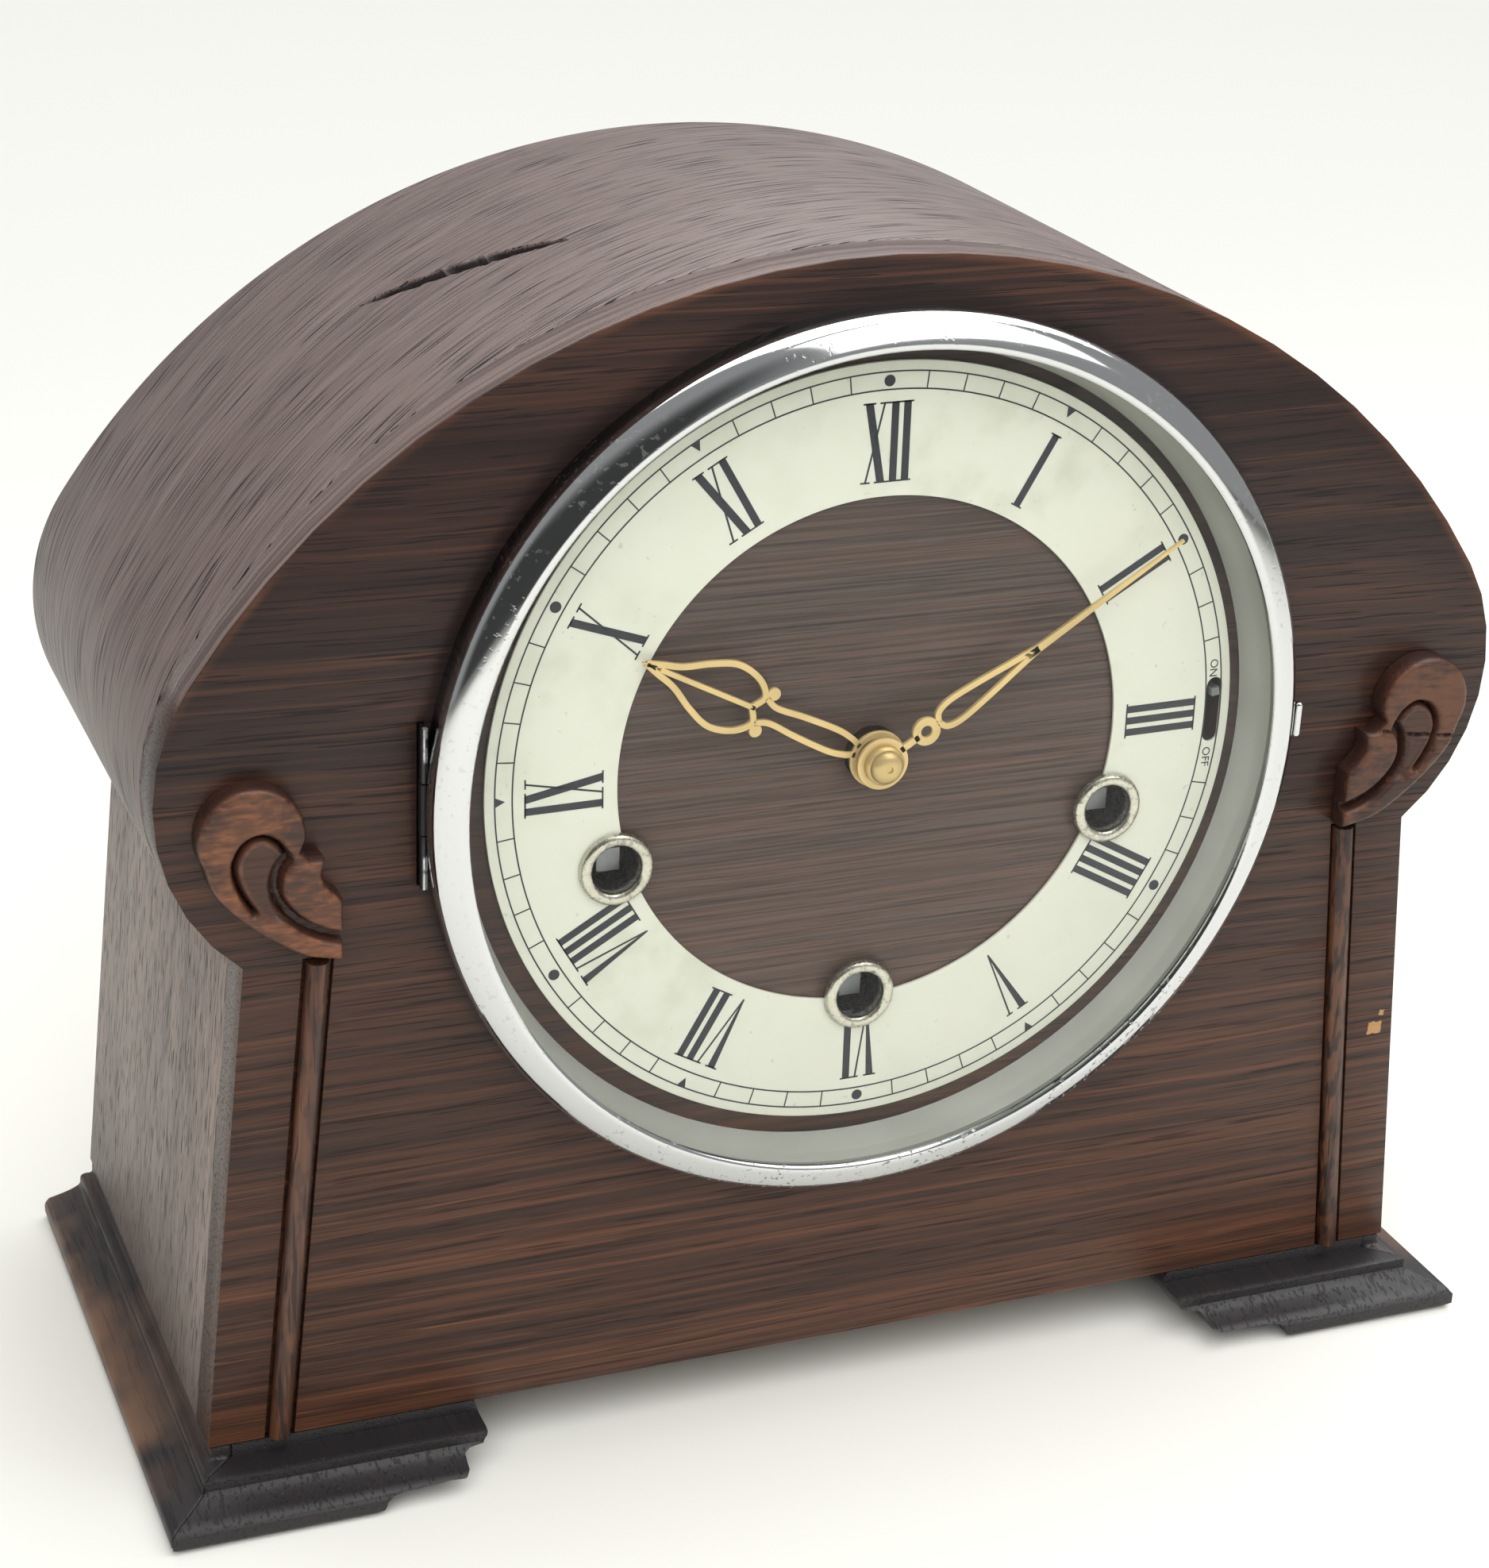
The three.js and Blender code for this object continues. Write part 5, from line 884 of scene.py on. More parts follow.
def within(points, loop):
    """True for each point inside a closed outline."""
    ends = np.array(loop)
    x, y = points[:, 0:1], points[:, 1:2]
    x0, y0 = ends[:, 0], ends[:, 1]
    x1, y1 = np.roll(x0, -1), np.roll(y0, -1)
    rise = np.where(y1 == y0, 1e-9, y1 - y0)
    crosses = ((y0 > y) != (y1 > y)) & (x < (x1 - x0) * (y - y0) / rise + x0)
    return crosses.sum(1) % 2 == 1


class CLOCK_OT_scrolls(bpy.types.Operator):
    """Carved scrolls: rounded leaves between cut channels"""

    bl_idname = "clock.scrolls"
    bl_label = "Scrolls"

    def execute(self, context):
        for name, side in (("left", -1), ("right", 1)):
            self.carve(name, side)
        return {"FINISHED"}

    def carve(self, name, side):
        """A grid trimmed to the outline, lifted away from edge and cuts, and closed at the back."""
        loop = scroll_outline()
        low, high = np.min(loop, axis=0), np.max(loop, axis=0)
        middle, span = (low + high) / 2, (high - low) / 2 + GRID_MARGIN
        bm = bmesh.new()
        bmesh.ops.create_grid(bm, x_segments=SCROLL_GRID[0], y_segments=SCROLL_GRID[1], size=1)
        bmesh.ops.scale(bm, verts=bm.verts, vec=(span[0], span[1], 1))
        bmesh.ops.translate(bm, verts=bm.verts, vec=(middle[0], middle[1], 0))
        spots = np.array([face.calc_center_median().xy for face in bm.faces])
        outside = [face for face, kept in zip(bm.faces, within(spots, loop)) if not kept]
        bmesh.ops.delete(bm, geom=outside, context="FACES")
        verts = list(bm.verts)
        points = np.array([v.co.xy for v in verts])
        edge_gap, edge_spot = nearest(points, loop, True)
        cut_gap = np.full(len(verts), np.inf)
        for cut, half in SCROLL_CUTS:
            gap, _ = nearest(points, [tuple(p) for p in smooth_path(cut, 6)], False)
            cut_gap = np.minimum(cut_gap, gap - half)
        if side > 0:
            cut_gap = np.minimum(cut_gap, nearest(points, SCROLL_CRACK, False)[0] + CRACK_RISE)
        leaf_gap, _ = nearest(points, SCROLL_LEAF, True)
        leaf = within(points, SCROLL_LEAF) * np.clip(leaf_gap / LEAF_SLOPE, 0, 1)
        for i, vert in enumerate(verts):
            if vert.is_boundary:
                points[i], edge_gap[i] = edge_spot[i], 0
        edge = EDGE_LOW + (1 - EDGE_LOW) * rounded(edge_gap, EDGE_ROUND)
        cut = CUT_LOW + (1 - CUT_LOW) * rounded(cut_gap, CUT_ROUND)
        height = SCROLL_HEIGHT * np.minimum(edge, cut) - LEAF_SINK * leaf
        for vert, (x, z), lift in zip(verts, points, height):
            vert.co = (x * side, SCROLL_BACK - lift, z)
        rim = [e for e in bm.edges if e.is_boundary]
        wall = bmesh.ops.extrude_edge_only(bm, edges=rim)
        for vert in (g for g in wall["geom"] if isinstance(g, bmesh.types.BMVert)):
            vert.co.y = SCROLL_BACK
        back = [e for e in bm.edges if e.is_boundary]
        bmesh.ops.holes_fill(bm, edges=back, sides=0)
        bmesh.ops.recalc_face_normals(bm, faces=bm.faces)
        piece(bm, f"scroll_{name}_carved", "case", "oak_carved", [f"scroll_{name}"], 50)


class CLOCK_OT_reeds(bpy.types.Operator):
    """Half-round reeds in their grooves"""

    bl_idname = "clock.reeds"
    bl_label = "Reeds"

    def execute(self, context):
        for name in ("left", "right"):
            dressed(f"reed_{name}", "case", "oak_reed", 0.15, 2, 40, 36)
        return {"FINISHED"}


class CLOCK_OT_back(bpy.types.Operator):
    """Back frame, door, hinge and turn button"""

    bl_idname = "clock.back"
    bl_label = "Back and Door"

    def execute(self, context):
        dressed("back_frame", "case", "ply", 0.4)
        dressed("back_door", "door", "ply", 0.5)
        dressed("door_hinge_frame_leaf", "case", "brass", 0.12)
        dressed("door_hinge_door_leaf", "door", "brass", 0.12)
        dressed("door_turn_button", "turn_button", "brass", 0.25)
        return {"FINISHED"}


# Dial
def in_dial(y, degrees=0.0):
    """Places a drawing whose up is twelve o'clock on the dial's axis, at a depth and turned clockwise."""
    turn = Matrix.Rotation(math.radians(degrees), 4, "Y")
    return Matrix.Translation((0, y, DIAL_Z)) @ turn @ UPRIGHT


# Depths and marks of the chapter ring
RING_MIDDLE = -0.6
RING_FACE = -0.9
RING_THICKNESS = 0.6
DIAL_TURN = -0.8
NOTCH_RADIUS = 6.2
INK = 0.05
LINE_HALF = 0.14
TICK_HALF = 0.12
DART_HALF = 0.95
DOT_RADIUS = 1.05
WORD_SIZE = 2.3
WORD_ON = 9.6
WORD_OFF = -8.4
SLOT_MINUTES = (14, 15, 16)
# Winding holes from the dial's centre, and the lever's slot by its middle, run and width
WINDING = {"left": (-49, -16.3), "right": (49, -16.3), "lower": (0, -48.3)}
SLOT = (70, 1.2, 13, 3.2)


def slot_loop():
    """Outline of the lever's slot."""
    x, y, run, width = SLOT
    half = width / 2
    reach = run / 2 - half
    return arc(x, y + reach, half, 0, 180, 10) + arc(x, y - reach, half, 180, 360, 10)


class CLOCK_OT_ring(bpy.types.Operator):
    """Silvered chapter ring, notched for the ferrules and slotted for the lever"""

    bl_idname = "clock.ring"
    bl_label = "Chapter Ring"

    def execute(self, context):
        size = sizes()
        bm = bmesh.new()
        inner = [self.inner_point(size["ring_inner"], step) for step in range(720)]
        loops = [arc(0, 0, size["ring_outer"], 0, 359, 359), inner, slot_loop()]
        flat(bm, loops, RING_THICKNESS, 0.08, in_dial(RING_MIDDLE))
        piece(bm, "chapter_ring_face", "case", "silver", ["chapter_ring"], 40)
        return {"FINISHED"}

    def inner_point(self, radius, step):
        """A point of the inner edge, moved out where a ferrule's notch lies."""
        turn = math.radians(step / 2)
        ray = Vector((math.cos(turn), math.sin(turn)))
        for spot in WINDING.values():
            centre = Vector(spot)
            aside = centre.x * ray.y - centre.y * ray.x
            if abs(aside) < NOTCH_RADIUS and centre.dot(ray) > 0:
                radius = max(radius, centre.dot(ray) + math.sqrt(NOTCH_RADIUS**2 - aside**2))
        return tuple(ray * radius)


HOURS = ("XII", "I", "II", "III", "IIII", "V", "VI", "VII", "VIII", "IX", "X", "XI")
SERIF = 0.3
# Strokes as the sideways ends of foot and head, then serifs at the foot, serifs at the head, and the width
LETTERS = {
    "I": (((0.45, 1.85, 0.45, 1.85),), ((0, 2.3),), ((0, 2.3),), 2.3),
    "V": (((2.2, 2.5, 0.5, 2), (2.2, 2.5, 4.14, 4.5)), (), ((0, 2.5), (3.6, 5)), 5),
    "X": (((3.1, 4.6, 0.4, 1.9), (0.7, 1.06, 3.94, 4.3)), ((0, 1.8), (2.6, 5)), ((0, 2.4), (3.2, 5)), 5),
}


def numeral_strokes(word, height):
    """Strokes of a roman numeral on a base line, as quadrilaterals, centred sideways."""
    quads = []
    pen = 0.0
    top = height - SERIF
    for letter in word:
        strokes, feet, heads, width = LETTERS[letter]
        made = [[(a, 0), (b, 0), (d, height), (c, height)] for a, b, c, d in strokes]
        made += [[(a, 0), (b, 0), (b, SERIF), (a, SERIF)] for a, b in feet]
        made += [[(a, top), (b, top), (b, height), (a, height)] for a, b in heads]
        quads += [[(x + pen, y) for x, y in quad] for quad in made]
        pen += width
    return [[(x - pen / 2, y) for x, y in quad] for quad in quads]


def inked(bm, corners, matrix):
    """Adds a thin inked patch standing on the ring."""
    verts = [bm.verts.new((x, y, 0)) for x, y in corners]
    face = bm.faces.new(verts)
    run = bmesh.ops.extrude_face_region(bm, geom=[face])
    top = [g for g in run["geom"] if isinstance(g, bmesh.types.BMVert)]
    bmesh.ops.translate(bm, verts=top, vec=(0, 0, INK))
    bmesh.ops.transform(bm, matrix=matrix, verts=verts + top)


class CLOCK_OT_numerals(bpy.types.Operator):
    """Roman numerals with their feet to the centre"""

    bl_idname = "clock.numerals"
    bl_label = "Numerals"

    def execute(self, context):
        size = sizes()
        bm = bmesh.new()
        foot = Matrix.Translation((0, size["numeral_foot"], 0))
        for hour, word in enumerate(HOURS):
            spot = in_dial(RING_FACE, hour * 30 + DIAL_TURN) @ foot
            for stroke in numeral_strokes(word, size["numeral_height"]):
                inked(bm, stroke, spot)
        bmesh.ops.recalc_face_normals(bm, faces=bm.faces)
        piece(bm, "numerals", "case", "ink")
        return {"FINISHED"}


class CLOCK_OT_track(bpy.types.Operator):
    """Minute track: two lines, a tick at each minute, dots and darts at the hours, and the lever's words"""

    bl_idname = "clock.track"
    bl_label = "Minute Track"

    def execute(self, context):
        size = sizes()
        middle, half = size["track_radius"], size["track_width"] / 2
        bm = bmesh.new()
        low, high = middle - half, middle + half
        for radius in (low, high):
            rings = [arc(0, 0, r, 0, 359, 359) for r in (radius + LINE_HALF, radius - LINE_HALF)]
            flat(bm, rings, INK, 0.0, in_dial(RING_FACE - 0.02))
        tick = [(-TICK_HALF, low), (TICK_HALF, low), (TICK_HALF, high), (-TICK_HALF, high)]
        dart = [(0, middle - 0.3), (DART_HALF, high), (-DART_HALF, high)]
        for minute in range(60):
            spot = in_dial(RING_FACE, minute * 6 + DIAL_TURN)
            if minute % 10 == 0:
                inked(bm, arc(0, middle, DOT_RADIUS, 0, 345, 23), spot)
            elif minute in SLOT_MINUTES:
                continue
            elif minute % 5 == 0:
                inked(bm, dart, spot)
            else:
                inked(bm, tick, spot)
        bmesh.ops.recalc_face_normals(bm, faces=bm.faces)
        piece(bm, "minute_track", "case", "ink")
        self.word("lever_on", "ON", WORD_ON)
        self.word("lever_off", "OFF", WORD_OFF)
        return {"FINISHED"}

    def word(self, name, text, rise):
        """A small switch word at the end of the lever's slot, reading down the track."""
        curve = bpy.data.curves.new(name, "FONT")
        curve.body = text
        curve.size = WORD_SIZE
        curve.align_x = "CENTER"
        curve.align_y = "CENTER"
        curve.extrude = INK / 2
        x = math.sqrt(SLOT[0] ** 2 - rise**2)
        lie = Matrix.Translation((x, rise, 0)) @ Matrix.Rotation(math.radians(-90), 4, "Z")
        bm = bmesh.new()
        take_mesh(bm, curve, in_dial(RING_FACE - INK / 2) @ lie)
        piece(bm, name, "case", "ink")


FERRULE_BORE = 4.7
FERRULE_END = 7
ROLL_Y = -1.75
ROLL_FLATNESS = 0.55


class CLOCK_OT_ferrules(bpy.types.Operator):
    """Nickel ferrules of the winding holes"""

    bl_idname = "clock.ferrules"
    bl_label = "Ferrules"

    def execute(self, context):
        roll = [(radius, ROLL_Y + ROLL_FLATNESS * y) for radius, y in arc(5.75, 0, 1.05, 180, 360, 12)]
        profile = [(FERRULE_BORE, FERRULE_END), *roll, (6.95, -1.2), (5.8, -1.2), (5.8, FERRULE_END)]
        for name, (x, drop) in WINDING.items():
            bm = turned(profile, SMALL_ROUND, x, DIAL_Z + drop)
            piece(bm, f"ferrule_{name}_turned", "case", "nickel", [f"ferrule_{name}"])
        return {"FINISHED"}


# Bezel, hanging a little low and to the left on its hinge
BEZEL_HANG = (-0.6, DIAL_Z - 0.6)
BEZEL_SEAT = -0.3
FLARE_START = -3
FLARE_END = -7.1
SIGHT_WALL = 0.9
SIGHT_MOUTH = 3.4
GLASS_SEAT = 1.3
GLASS_RISE = 5.1
GLASS_THICKNESS = 1.8
GLASS_STEPS = 12
HINGE_AXIS = (-84.7, -2.2)
KNUCKLE_RADIUS = 0.7
KNUCKLE_HALF = 4.7
LUG_REACH = 2.2


class CLOCK_OT_bezel(bpy.types.Operator):
    """Chrome bezel, grey sight ring, convex glass, hinge and opening tab"""

    bl_idname = "clock.bezel"
    bl_label = "Bezel"

    def execute(self, context):
        size = sizes()
        radius, depth, lip = size["bezel_radius"], size["bezel_depth"], size["lip_radius"]
        sight, foot = size["sight_radius"], size["bezel_foot"]
        wall = sight + SIGHT_WALL
        inside = wall + 0.3
        flare = self.bend((foot, FLARE_START), (radius, -3.4), (radius, FLARE_END), 8)
        roll = self.bend((radius, FLARE_END), (radius - 0.2, 1.4 - depth), (lip + 1, -depth), 14)
        profile = [(foot, BEZEL_SEAT), *flare, *roll[1:]]
        profile += [(lip + 0.35, 0.15 - depth), (lip, 0.5 - depth), (lip, 1 - depth)]
        profile += [(inside, 1 - depth), (inside, BEZEL_SEAT)]
        bm = turned(profile, LARGE_ROUND, *BEZEL_HANG)
        self.lug(bm)
        piece(bm, "bezel_ring_spun", "bezel", "chrome", ["bezel_ring"], 40)
        mouth = SIGHT_MOUTH - depth
        slope = [(sight, mouth), (wall, mouth), (wall, BEZEL_SEAT), (sight - size["sight_taper"], BEZEL_SEAT)]
        bm = turned(slope, MIDDLE_ROUND, *BEZEL_HANG)
        piece(bm, "sight_ring_spun", "bezel", "satin", ["sight_ring"], 40)
        self.glass(lip - 0.3, wall, GLASS_SEAT - depth)
        dressed("bezel_hinge_plate", "case", "bronzed", 0.15)
        tab = dressed("bezel_tab", "bezel", "chrome", 0.6, 3)
        tab.data.transform(Matrix.Translation((BEZEL_HANG[0] * MM, 0, 0)))
        return {"FINISHED"}

    def bend(self, start, middle, end, steps):
        """Points of a curve between two ends, drawn towards a middle point."""
        start, middle, end = Vector(start), Vector(middle), Vector(end)
        shares = [i / steps for i in range(steps + 1)]
        return [tuple(start.lerp(middle, t).lerp(middle.lerp(end, t), t)) for t in shares]

    def lug(self, bm):
        """Arm and knuckle between the fixed knuckles of the hinge."""
        x, y = HINGE_AXIS
        high = 2 * KNUCKLE_HALF
        pin = {"radius1": KNUCKLE_RADIUS, "radius2": KNUCKLE_RADIUS, "depth": high}
        spot = Matrix.Translation((x, y, DIAL_Z))
        bmesh.ops.create_cone(bm, cap_ends=True, segments=24, matrix=spot, **pin)
        arm = bmesh.ops.create_cube(bm, size=1)
        bmesh.ops.scale(bm, verts=arm["verts"], vec=(LUG_REACH, KNUCKLE_RADIUS, high))
        bmesh.ops.translate(bm, verts=arm["verts"], vec=(x + LUG_REACH / 2, y, DIAL_Z))

    def glass(self, edge, wall, rim):
        """Dome up to the lip's edge, with a flat rim out to the wall."""
        shares = [i / GLASS_STEPS for i in range(GLASS_STEPS + 1)]
        dome = [(edge * share, rim - GLASS_RISE * (1 - share**2)) for share in shares]
        inner = [(r, y + GLASS_THICKNESS) for r, y in reversed(dome)]
        profile = [*dome, (wall, rim), (wall, rim + GLASS_THICKNESS), *inner]
        bm = turned(profile, MIDDLE_ROUND, *BEZEL_HANG, closed=False)
        piece(bm, "bezel_glass_blown", "bezel", "glass", ["bezel_glass"], 40)


# Hands, drawn with a length of 50, their turns at the time shown, and bosses by radius and bore
DRAWN_LENGTH = 50
HAND_THICKNESS = 0.8
HOUR_TURN = 297
HOUR_Y = -2.9
HOUR_BOSS = (5.4, 4.05)
MINUTE_TURN = 57.1
MINUTE_Y = -5.3
MINUTE_BOSS = (5, 2.65)
HEART = ((0, 49.3), (0.9, 46.4), (2, 42.6), (4.4, 38), (6, 33.3), (5.1, 28.6), (2.6, 25.9), (0, 27.3))
HOUR_STEM = ((2.5, 25.6), (1.5, 22.7), (1.9, 17), (2.1, 10), (1.6, 6.5), (0.8, 4.4))
MINUTE_LOOP = ((0, 9.2), (1.3, 10), (1.75, 12.2), (1.35, 16.6), (0.75, 21), (0.12, 25.8))
NUT_FLANGE = ((0, -6), (3.7, -6), (3.7, -6.8), (3.45, -7.1), (3.2, -7.2), (3.1, -7.7), (2.75, -8.2))
NUT_DOME = ((2.2, -8.5), (1.5, -8.7), (0.7, -8.78), (0.6, -8.4), (0, -8.4))


class CLOCK_OT_hands(bpy.types.Operator):
    """Pierced gilt hands and their nut"""

    bl_idname = "clock.hands"
    bl_label = "Hands"

    def execute(self, context):
        size = sizes()
        bm = self.cut(self.hour(), size["hour_length"], HOUR_BOSS, in_dial(HOUR_Y, HOUR_TURN))
        piece(bm, "hour_hand_pierced", "hour", "gilt", ["hour_hand"], 40)
        bm = self.cut(self.minute(), size["minute_length"], MINUTE_BOSS, in_dial(MINUTE_Y, MINUTE_TURN))
        piece(bm, "minute_hand_pierced", "minute", "gilt", ["minute_hand"], 40)
        bm = turned((*NUT_FLANGE, *NUT_DOME), SMALL_ROUND, closed=False)
        piece(bm, "hand_nut_turned", "minute", "polished", ["hand_nut"], 30)
        return {"FINISHED"}

    def cut(self, outlines, reach, boss, matrix):
        """A hand from drawn plates, brought to its length, and its boss."""
        bm = bmesh.new()
        share = reach / DRAWN_LENGTH
        for loops in outlines:
            loops = [[(x * share, y * share) for x, y in loop] for loop in loops]
            flat(bm, loops, HAND_THICKNESS, 0.1, matrix)
        radius, bore = boss
        loops = [arc(0, 0, radius, 0, 352, 44), arc(0, 0, bore, 0, 350, 35)]
        flat(bm, loops, HAND_THICKNESS, 0.15, matrix)
        return bm

    def hour(self):
        outlines = [[ribbon([(0, 26.6), (0, 36), (0, 46.4)], 0.95)]]
        for side in (-1, 1):
            outlines.append([ribbon([(x * side, y) for x, y in HEART], 1.15)])
            outlines.append([ribbon([(x * side, y) for x, y in HOUR_STEM], 1.1)])
            outlines.append([arc(3.6 * side, 24.6, 1.2, 0, 345, 23)])
        outlines.append([[(-0.55, 47.2), (0.55, 47.2), (0.12, 50), (-0.12, 50)]])
        return outlines

    def minute(self):
        outlines = [[ribbon([(0, 2.9), (0, 4.6), (0, 6)], 1.0)]]
        outlines.append([arc(0, 7.2, 2.0, 0, 350, 35), arc(0, 7.2, 0.8, 0, 345, 23)])
        for side in (-1, 1):
            outlines.append([ribbon([(x * side, y) for x, y in MINUTE_LOOP], 0.85)])
        outlines.append([ribbon([(0, 23.5), (0, 36), (0, 50)], 1.2, 8, 0.4)])
        return outlines


# Movement: body, metal and nodes
MOVEMENT = (
    ("case", "brass", "front_plate", "back_plate", "suspension_cock"),
    ("case", "steel", "pillar_1", "pillar_2", "pillar_3", "pillar_4", "gong_rod_1", "gong_rod_2"),
    ("case", "iron", "gong_block"),
    ("minute", "brass", "cannon_pinion"),
    ("hour", "brass", "hour_wheel"),
    ("motion", "brass", "minute_wheel"),
    ("centre", "brass", "centre_wheel"),
    ("third", "brass", "third_wheel"),
    ("escape", "brass", "escape_wheel"),
    ("intermediate", "brass", "intermediate_wheel"),
    ("going_barrel", "brass", "barrel_lower"),
    ("strike_barrel", "brass", "barrel_left"),
    ("chime_barrel", "brass", "barrel_right"),
    ("drum", "brass", "chime_drum"),
    ("arbor_left", "steel", "winding_arbor_left"),
    ("arbor_right", "steel", "winding_arbor_right"),
    ("arbor_lower", "steel", "winding_arbor_lower"),
    ("pallets", "steel", "anchor"),
    ("pendulum", "steel", "pendulum_rod"),
    ("pendulum", "brass", "pendulum_bob"),
    ("hammer_front", "steel", "hammer_1"),
    ("hammer_rear", "steel", "hammer_2"),
    ("lever", "steel", "chime_lever"),
)


class CLOCK_OT_movement(bpy.types.Operator):
    """Plates, pillars, trains, motion work, pendulum, hammers and gong rods"""

    bl_idname = "clock.movement"
    bl_label = "Movement"

    def execute(self, context):
        for body, metal, *nodes in MOVEMENT:
            for node in nodes:
                dressed(node, body, metal, 0.1, 1, 35)
        return {"FINISHED"}


# Stage: camera in metres and radians with its focal length in rows of a picture, and the floor's glow
CAMERA_SPOT = (-0.22877, -0.49144, 0.35743)
CAMERA_TURN = -0.394
CAMERA_RISE = 0.401
CAMERA_ROLL = 0.044
CAMERA_FOCUS = 4064.6
PICTURE_ROWS = 1975
SENSOR = 36
FLOOR_HALF = 6
FLOOR_SPOT = (0, 2, -0.0003)
GLOW = (0.95, 0.95, 0.91, 1)
GLOW_SHARE = 0.85
GLOW_BEHIND = (0.05, 0.9)
GLOW_AROUND = (0.45, 1.2)
# Lamps: place, target, width, height and power
LAMPS = {
    "key": ((-0.6, -1.2, 1.3), (0, 0, 0.12), 1.9, 1.6, 41),
    "fill": ((0.9, -1.3, 1.4), (0, 0, 0.12), 1.3, 1.3, 13),
    "top": ((0.45, 0.3, 1.55), (0, 0.05, 0.1), 2, 2, 42),
}
SKY = 0.36
SKY_DIM = 0.3
SKY_SEEN = 0.9


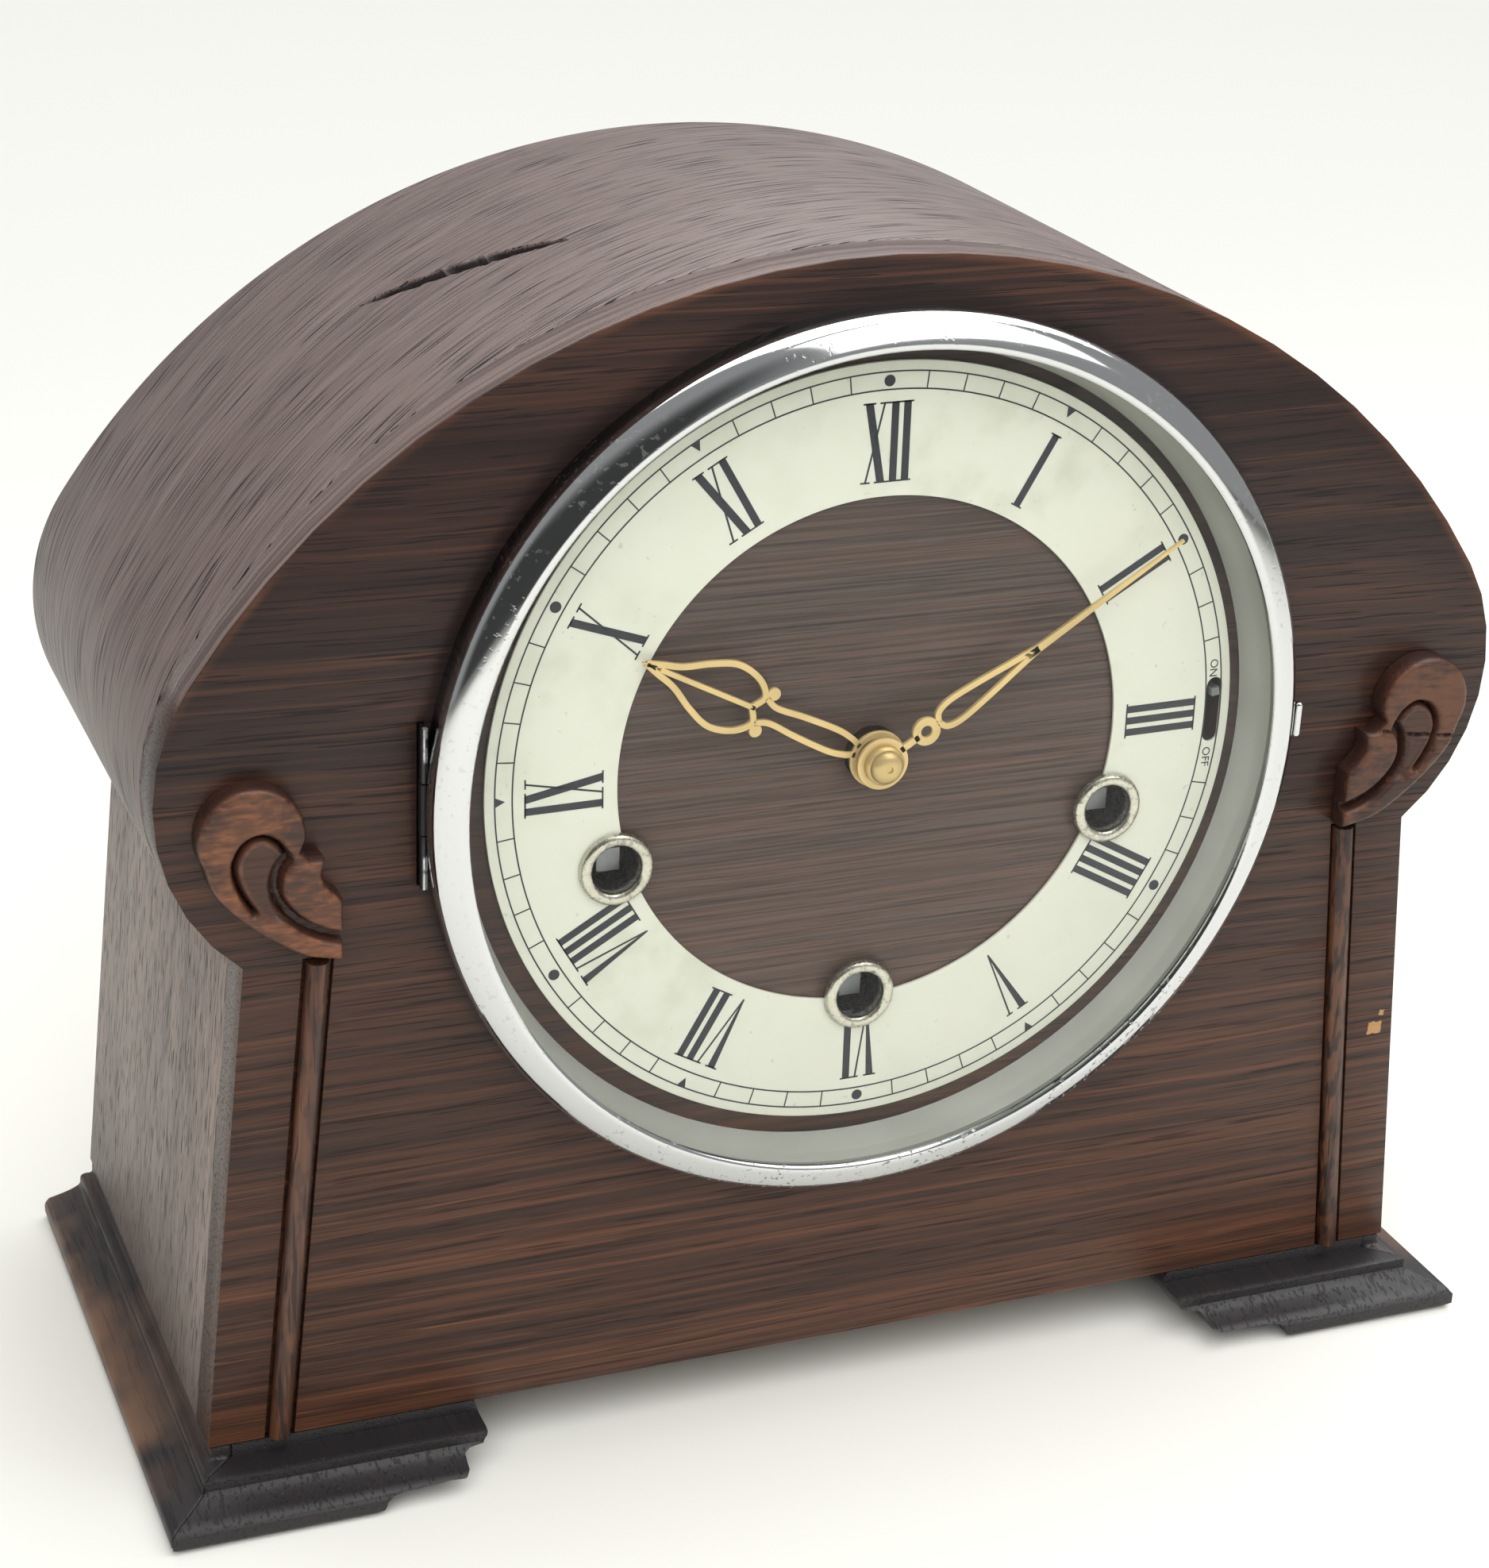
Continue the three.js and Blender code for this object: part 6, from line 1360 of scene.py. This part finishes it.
class CLOCK_OT_stage(bpy.types.Operator):
    """Pale floor, soft light and the camera"""

    bl_idname = "clock.stage"
    bl_label = "Stage"

    def execute(self, context):
        self.floor()
        self.light()
        self.camera()
        context.scene.view_settings.view_transform = "Standard"
        return {"FINISHED"}

    def floor(self):
        bm = bmesh.new()
        bmesh.ops.create_grid(bm, x_segments=4, y_segments=4, size=FLOOR_HALF)
        bmesh.ops.translate(bm, verts=bm.verts, vec=FLOOR_SPOT)
        mesh = bpy.data.meshes.new("floor")
        bm.to_mesh(mesh)
        bm.free()
        mesh.materials.append(self.floor_finish())
        placed("floor", mesh)

    def floor_finish(self):
        paint = Paint("floor")
        x, y, z = paint.place()
        cloud = paint.noise(x * 3, y * 3, z, 3)
        colour = paint.mix(cloud, "floor", finish_tint("floor", (0.97,) * 3))
        matt = paint.add("ShaderNodeBsdfDiffuse", None, {"Color": colour})
        glow = paint.add("ShaderNodeEmission", None, {"Color": GLOW, "Strength": 1})
        seen = paint.ray("Camera")
        through = paint.ray("Transmission")
        gloss = paint.ray("Glossy")
        behind = y.rise(*GLOW_BEHIND)
        far = behind.most((x * x + y * y).root().rise(*GLOW_AROUND))
        share = (seen.most(through) * far).most(gloss * behind) * GLOW_SHARE
        shader = paint.add("ShaderNodeMixShader", None, {0: share, 1: matt, 2: glow})
        return paint.output(shader)

    def light(self):
        bpy.context.scene.world = self.sky()
        for name, settings in LAMPS.items():
            made = self.lamp(name, *settings)
            made.visible_glossy = name != "key"

    def sky(self):
        """Even light that is dimmer low down behind the camera, where a studio is dark."""
        paint = Paint("studio", bpy.data.worlds.new("studio"))
        spot = paint.add("ShaderNodeTexCoord", output="Generated")
        x, y, z = (paint.add("ShaderNodeSeparateXYZ", None, {0: spot}, axis) for axis in range(3))
        dim = x.rise(0.3, 0.0) * y.rise(-0.15, -0.6) * z.rise(0.75, 0.35)
        seen = paint.ray("Camera")
        strength = (SKY - dim * SKY_DIM) * (1 - seen) + seen * SKY_SEEN
        shader = paint.add("ShaderNodeBackground", None, {"Color": (1, 1, 1, 1), "Strength": strength})
        return paint.output(shader)

    def lamp(self, name, spot, target, width, height, power):
        lamp = bpy.data.lights.new(name, "AREA")
        lamp.shape = "RECTANGLE"
        lamp.size = width
        lamp.size_y = height
        lamp.energy = power
        made = placed(name, lamp)
        made.location = spot
        made.rotation_euler = (Vector(target) - Vector(spot)).to_track_quat("-Z", "Y").to_euler()
        return made

    def camera(self):
        turn, rise, roll = CAMERA_TURN, CAMERA_RISE, CAMERA_ROLL
        back = Vector((math.sin(turn) * math.cos(rise), -math.cos(turn) * math.cos(rise), math.sin(rise)))
        right = (-back).cross(Vector((0, 0, 1))).normalized()
        up = right.cross(-back)
        across = right * math.cos(roll) + up * math.sin(roll)
        above = up * math.cos(roll) - right * math.sin(roll)
        camera = bpy.data.cameras.new("camera")
        camera.sensor_width = SENSOR
        camera.lens = CAMERA_FOCUS * SENSOR / PICTURE_ROWS
        camera.clip_start = 0.01
        made = placed("camera", camera)
        axes = Matrix((across, above, back)).transposed().to_4x4()
        spot = Vector(CAMERA_SPOT) + Vector((0, FACE_Y, 0))
        made.matrix_world = Matrix.Translation(spot) @ axes
        bpy.context.scene.camera = made


class CLOCK_PT_panel(bpy.types.Panel):
    bl_idname = "CLOCK_PT_panel"
    bl_label = "Mantel Clock"
    bl_space_type = "VIEW_3D"
    bl_region_type = "UI"
    bl_category = "Clock"

    def draw(self, context):
        for group in (context.scene.clock_sizes, context.scene.clock_finishes):
            column = self.layout.column(align=True)
            for name in type(group).__annotations__:
                column.prop(group, name)
        for operator in OPERATORS:
            self.layout.operator(operator.bl_idname)


OPERATORS = (
    CLOCK_OT_stage,
    CLOCK_OT_front,
    CLOCK_OT_arch,
    CLOCK_OT_sides,
    CLOCK_OT_plinth,
    CLOCK_OT_scrolls,
    CLOCK_OT_reeds,
    CLOCK_OT_back,
    CLOCK_OT_ring,
    CLOCK_OT_numerals,
    CLOCK_OT_track,
    CLOCK_OT_ferrules,
    CLOCK_OT_bezel,
    CLOCK_OT_hands,
    CLOCK_OT_movement,
)
CLASSES = (ClockSizes, ClockFinishes, *OPERATORS, CLOCK_PT_panel)


def register():
    for cls in CLASSES:
        bpy.utils.register_class(cls)
    bpy.types.Scene.clock_sizes = PointerProperty(type=ClockSizes)
    bpy.types.Scene.clock_finishes = PointerProperty(type=ClockFinishes)


def unregister():
    del bpy.types.Scene.clock_finishes
    del bpy.types.Scene.clock_sizes
    for cls in reversed(CLASSES):
        bpy.utils.unregister_class(cls)


def main():
    register()
    bpy.ops.clock.stage()
    bpy.ops.clock.front()
    bpy.ops.clock.arch()
    bpy.ops.clock.sides()
    bpy.ops.clock.plinth()
    bpy.ops.clock.scrolls()
    bpy.ops.clock.reeds()
    bpy.ops.clock.back()
    bpy.ops.clock.ring()
    bpy.ops.clock.numerals()
    bpy.ops.clock.track()
    bpy.ops.clock.ferrules()
    bpy.ops.clock.bezel()
    bpy.ops.clock.hands()
    bpy.ops.clock.movement()


if __name__ == "__main__":
    main()
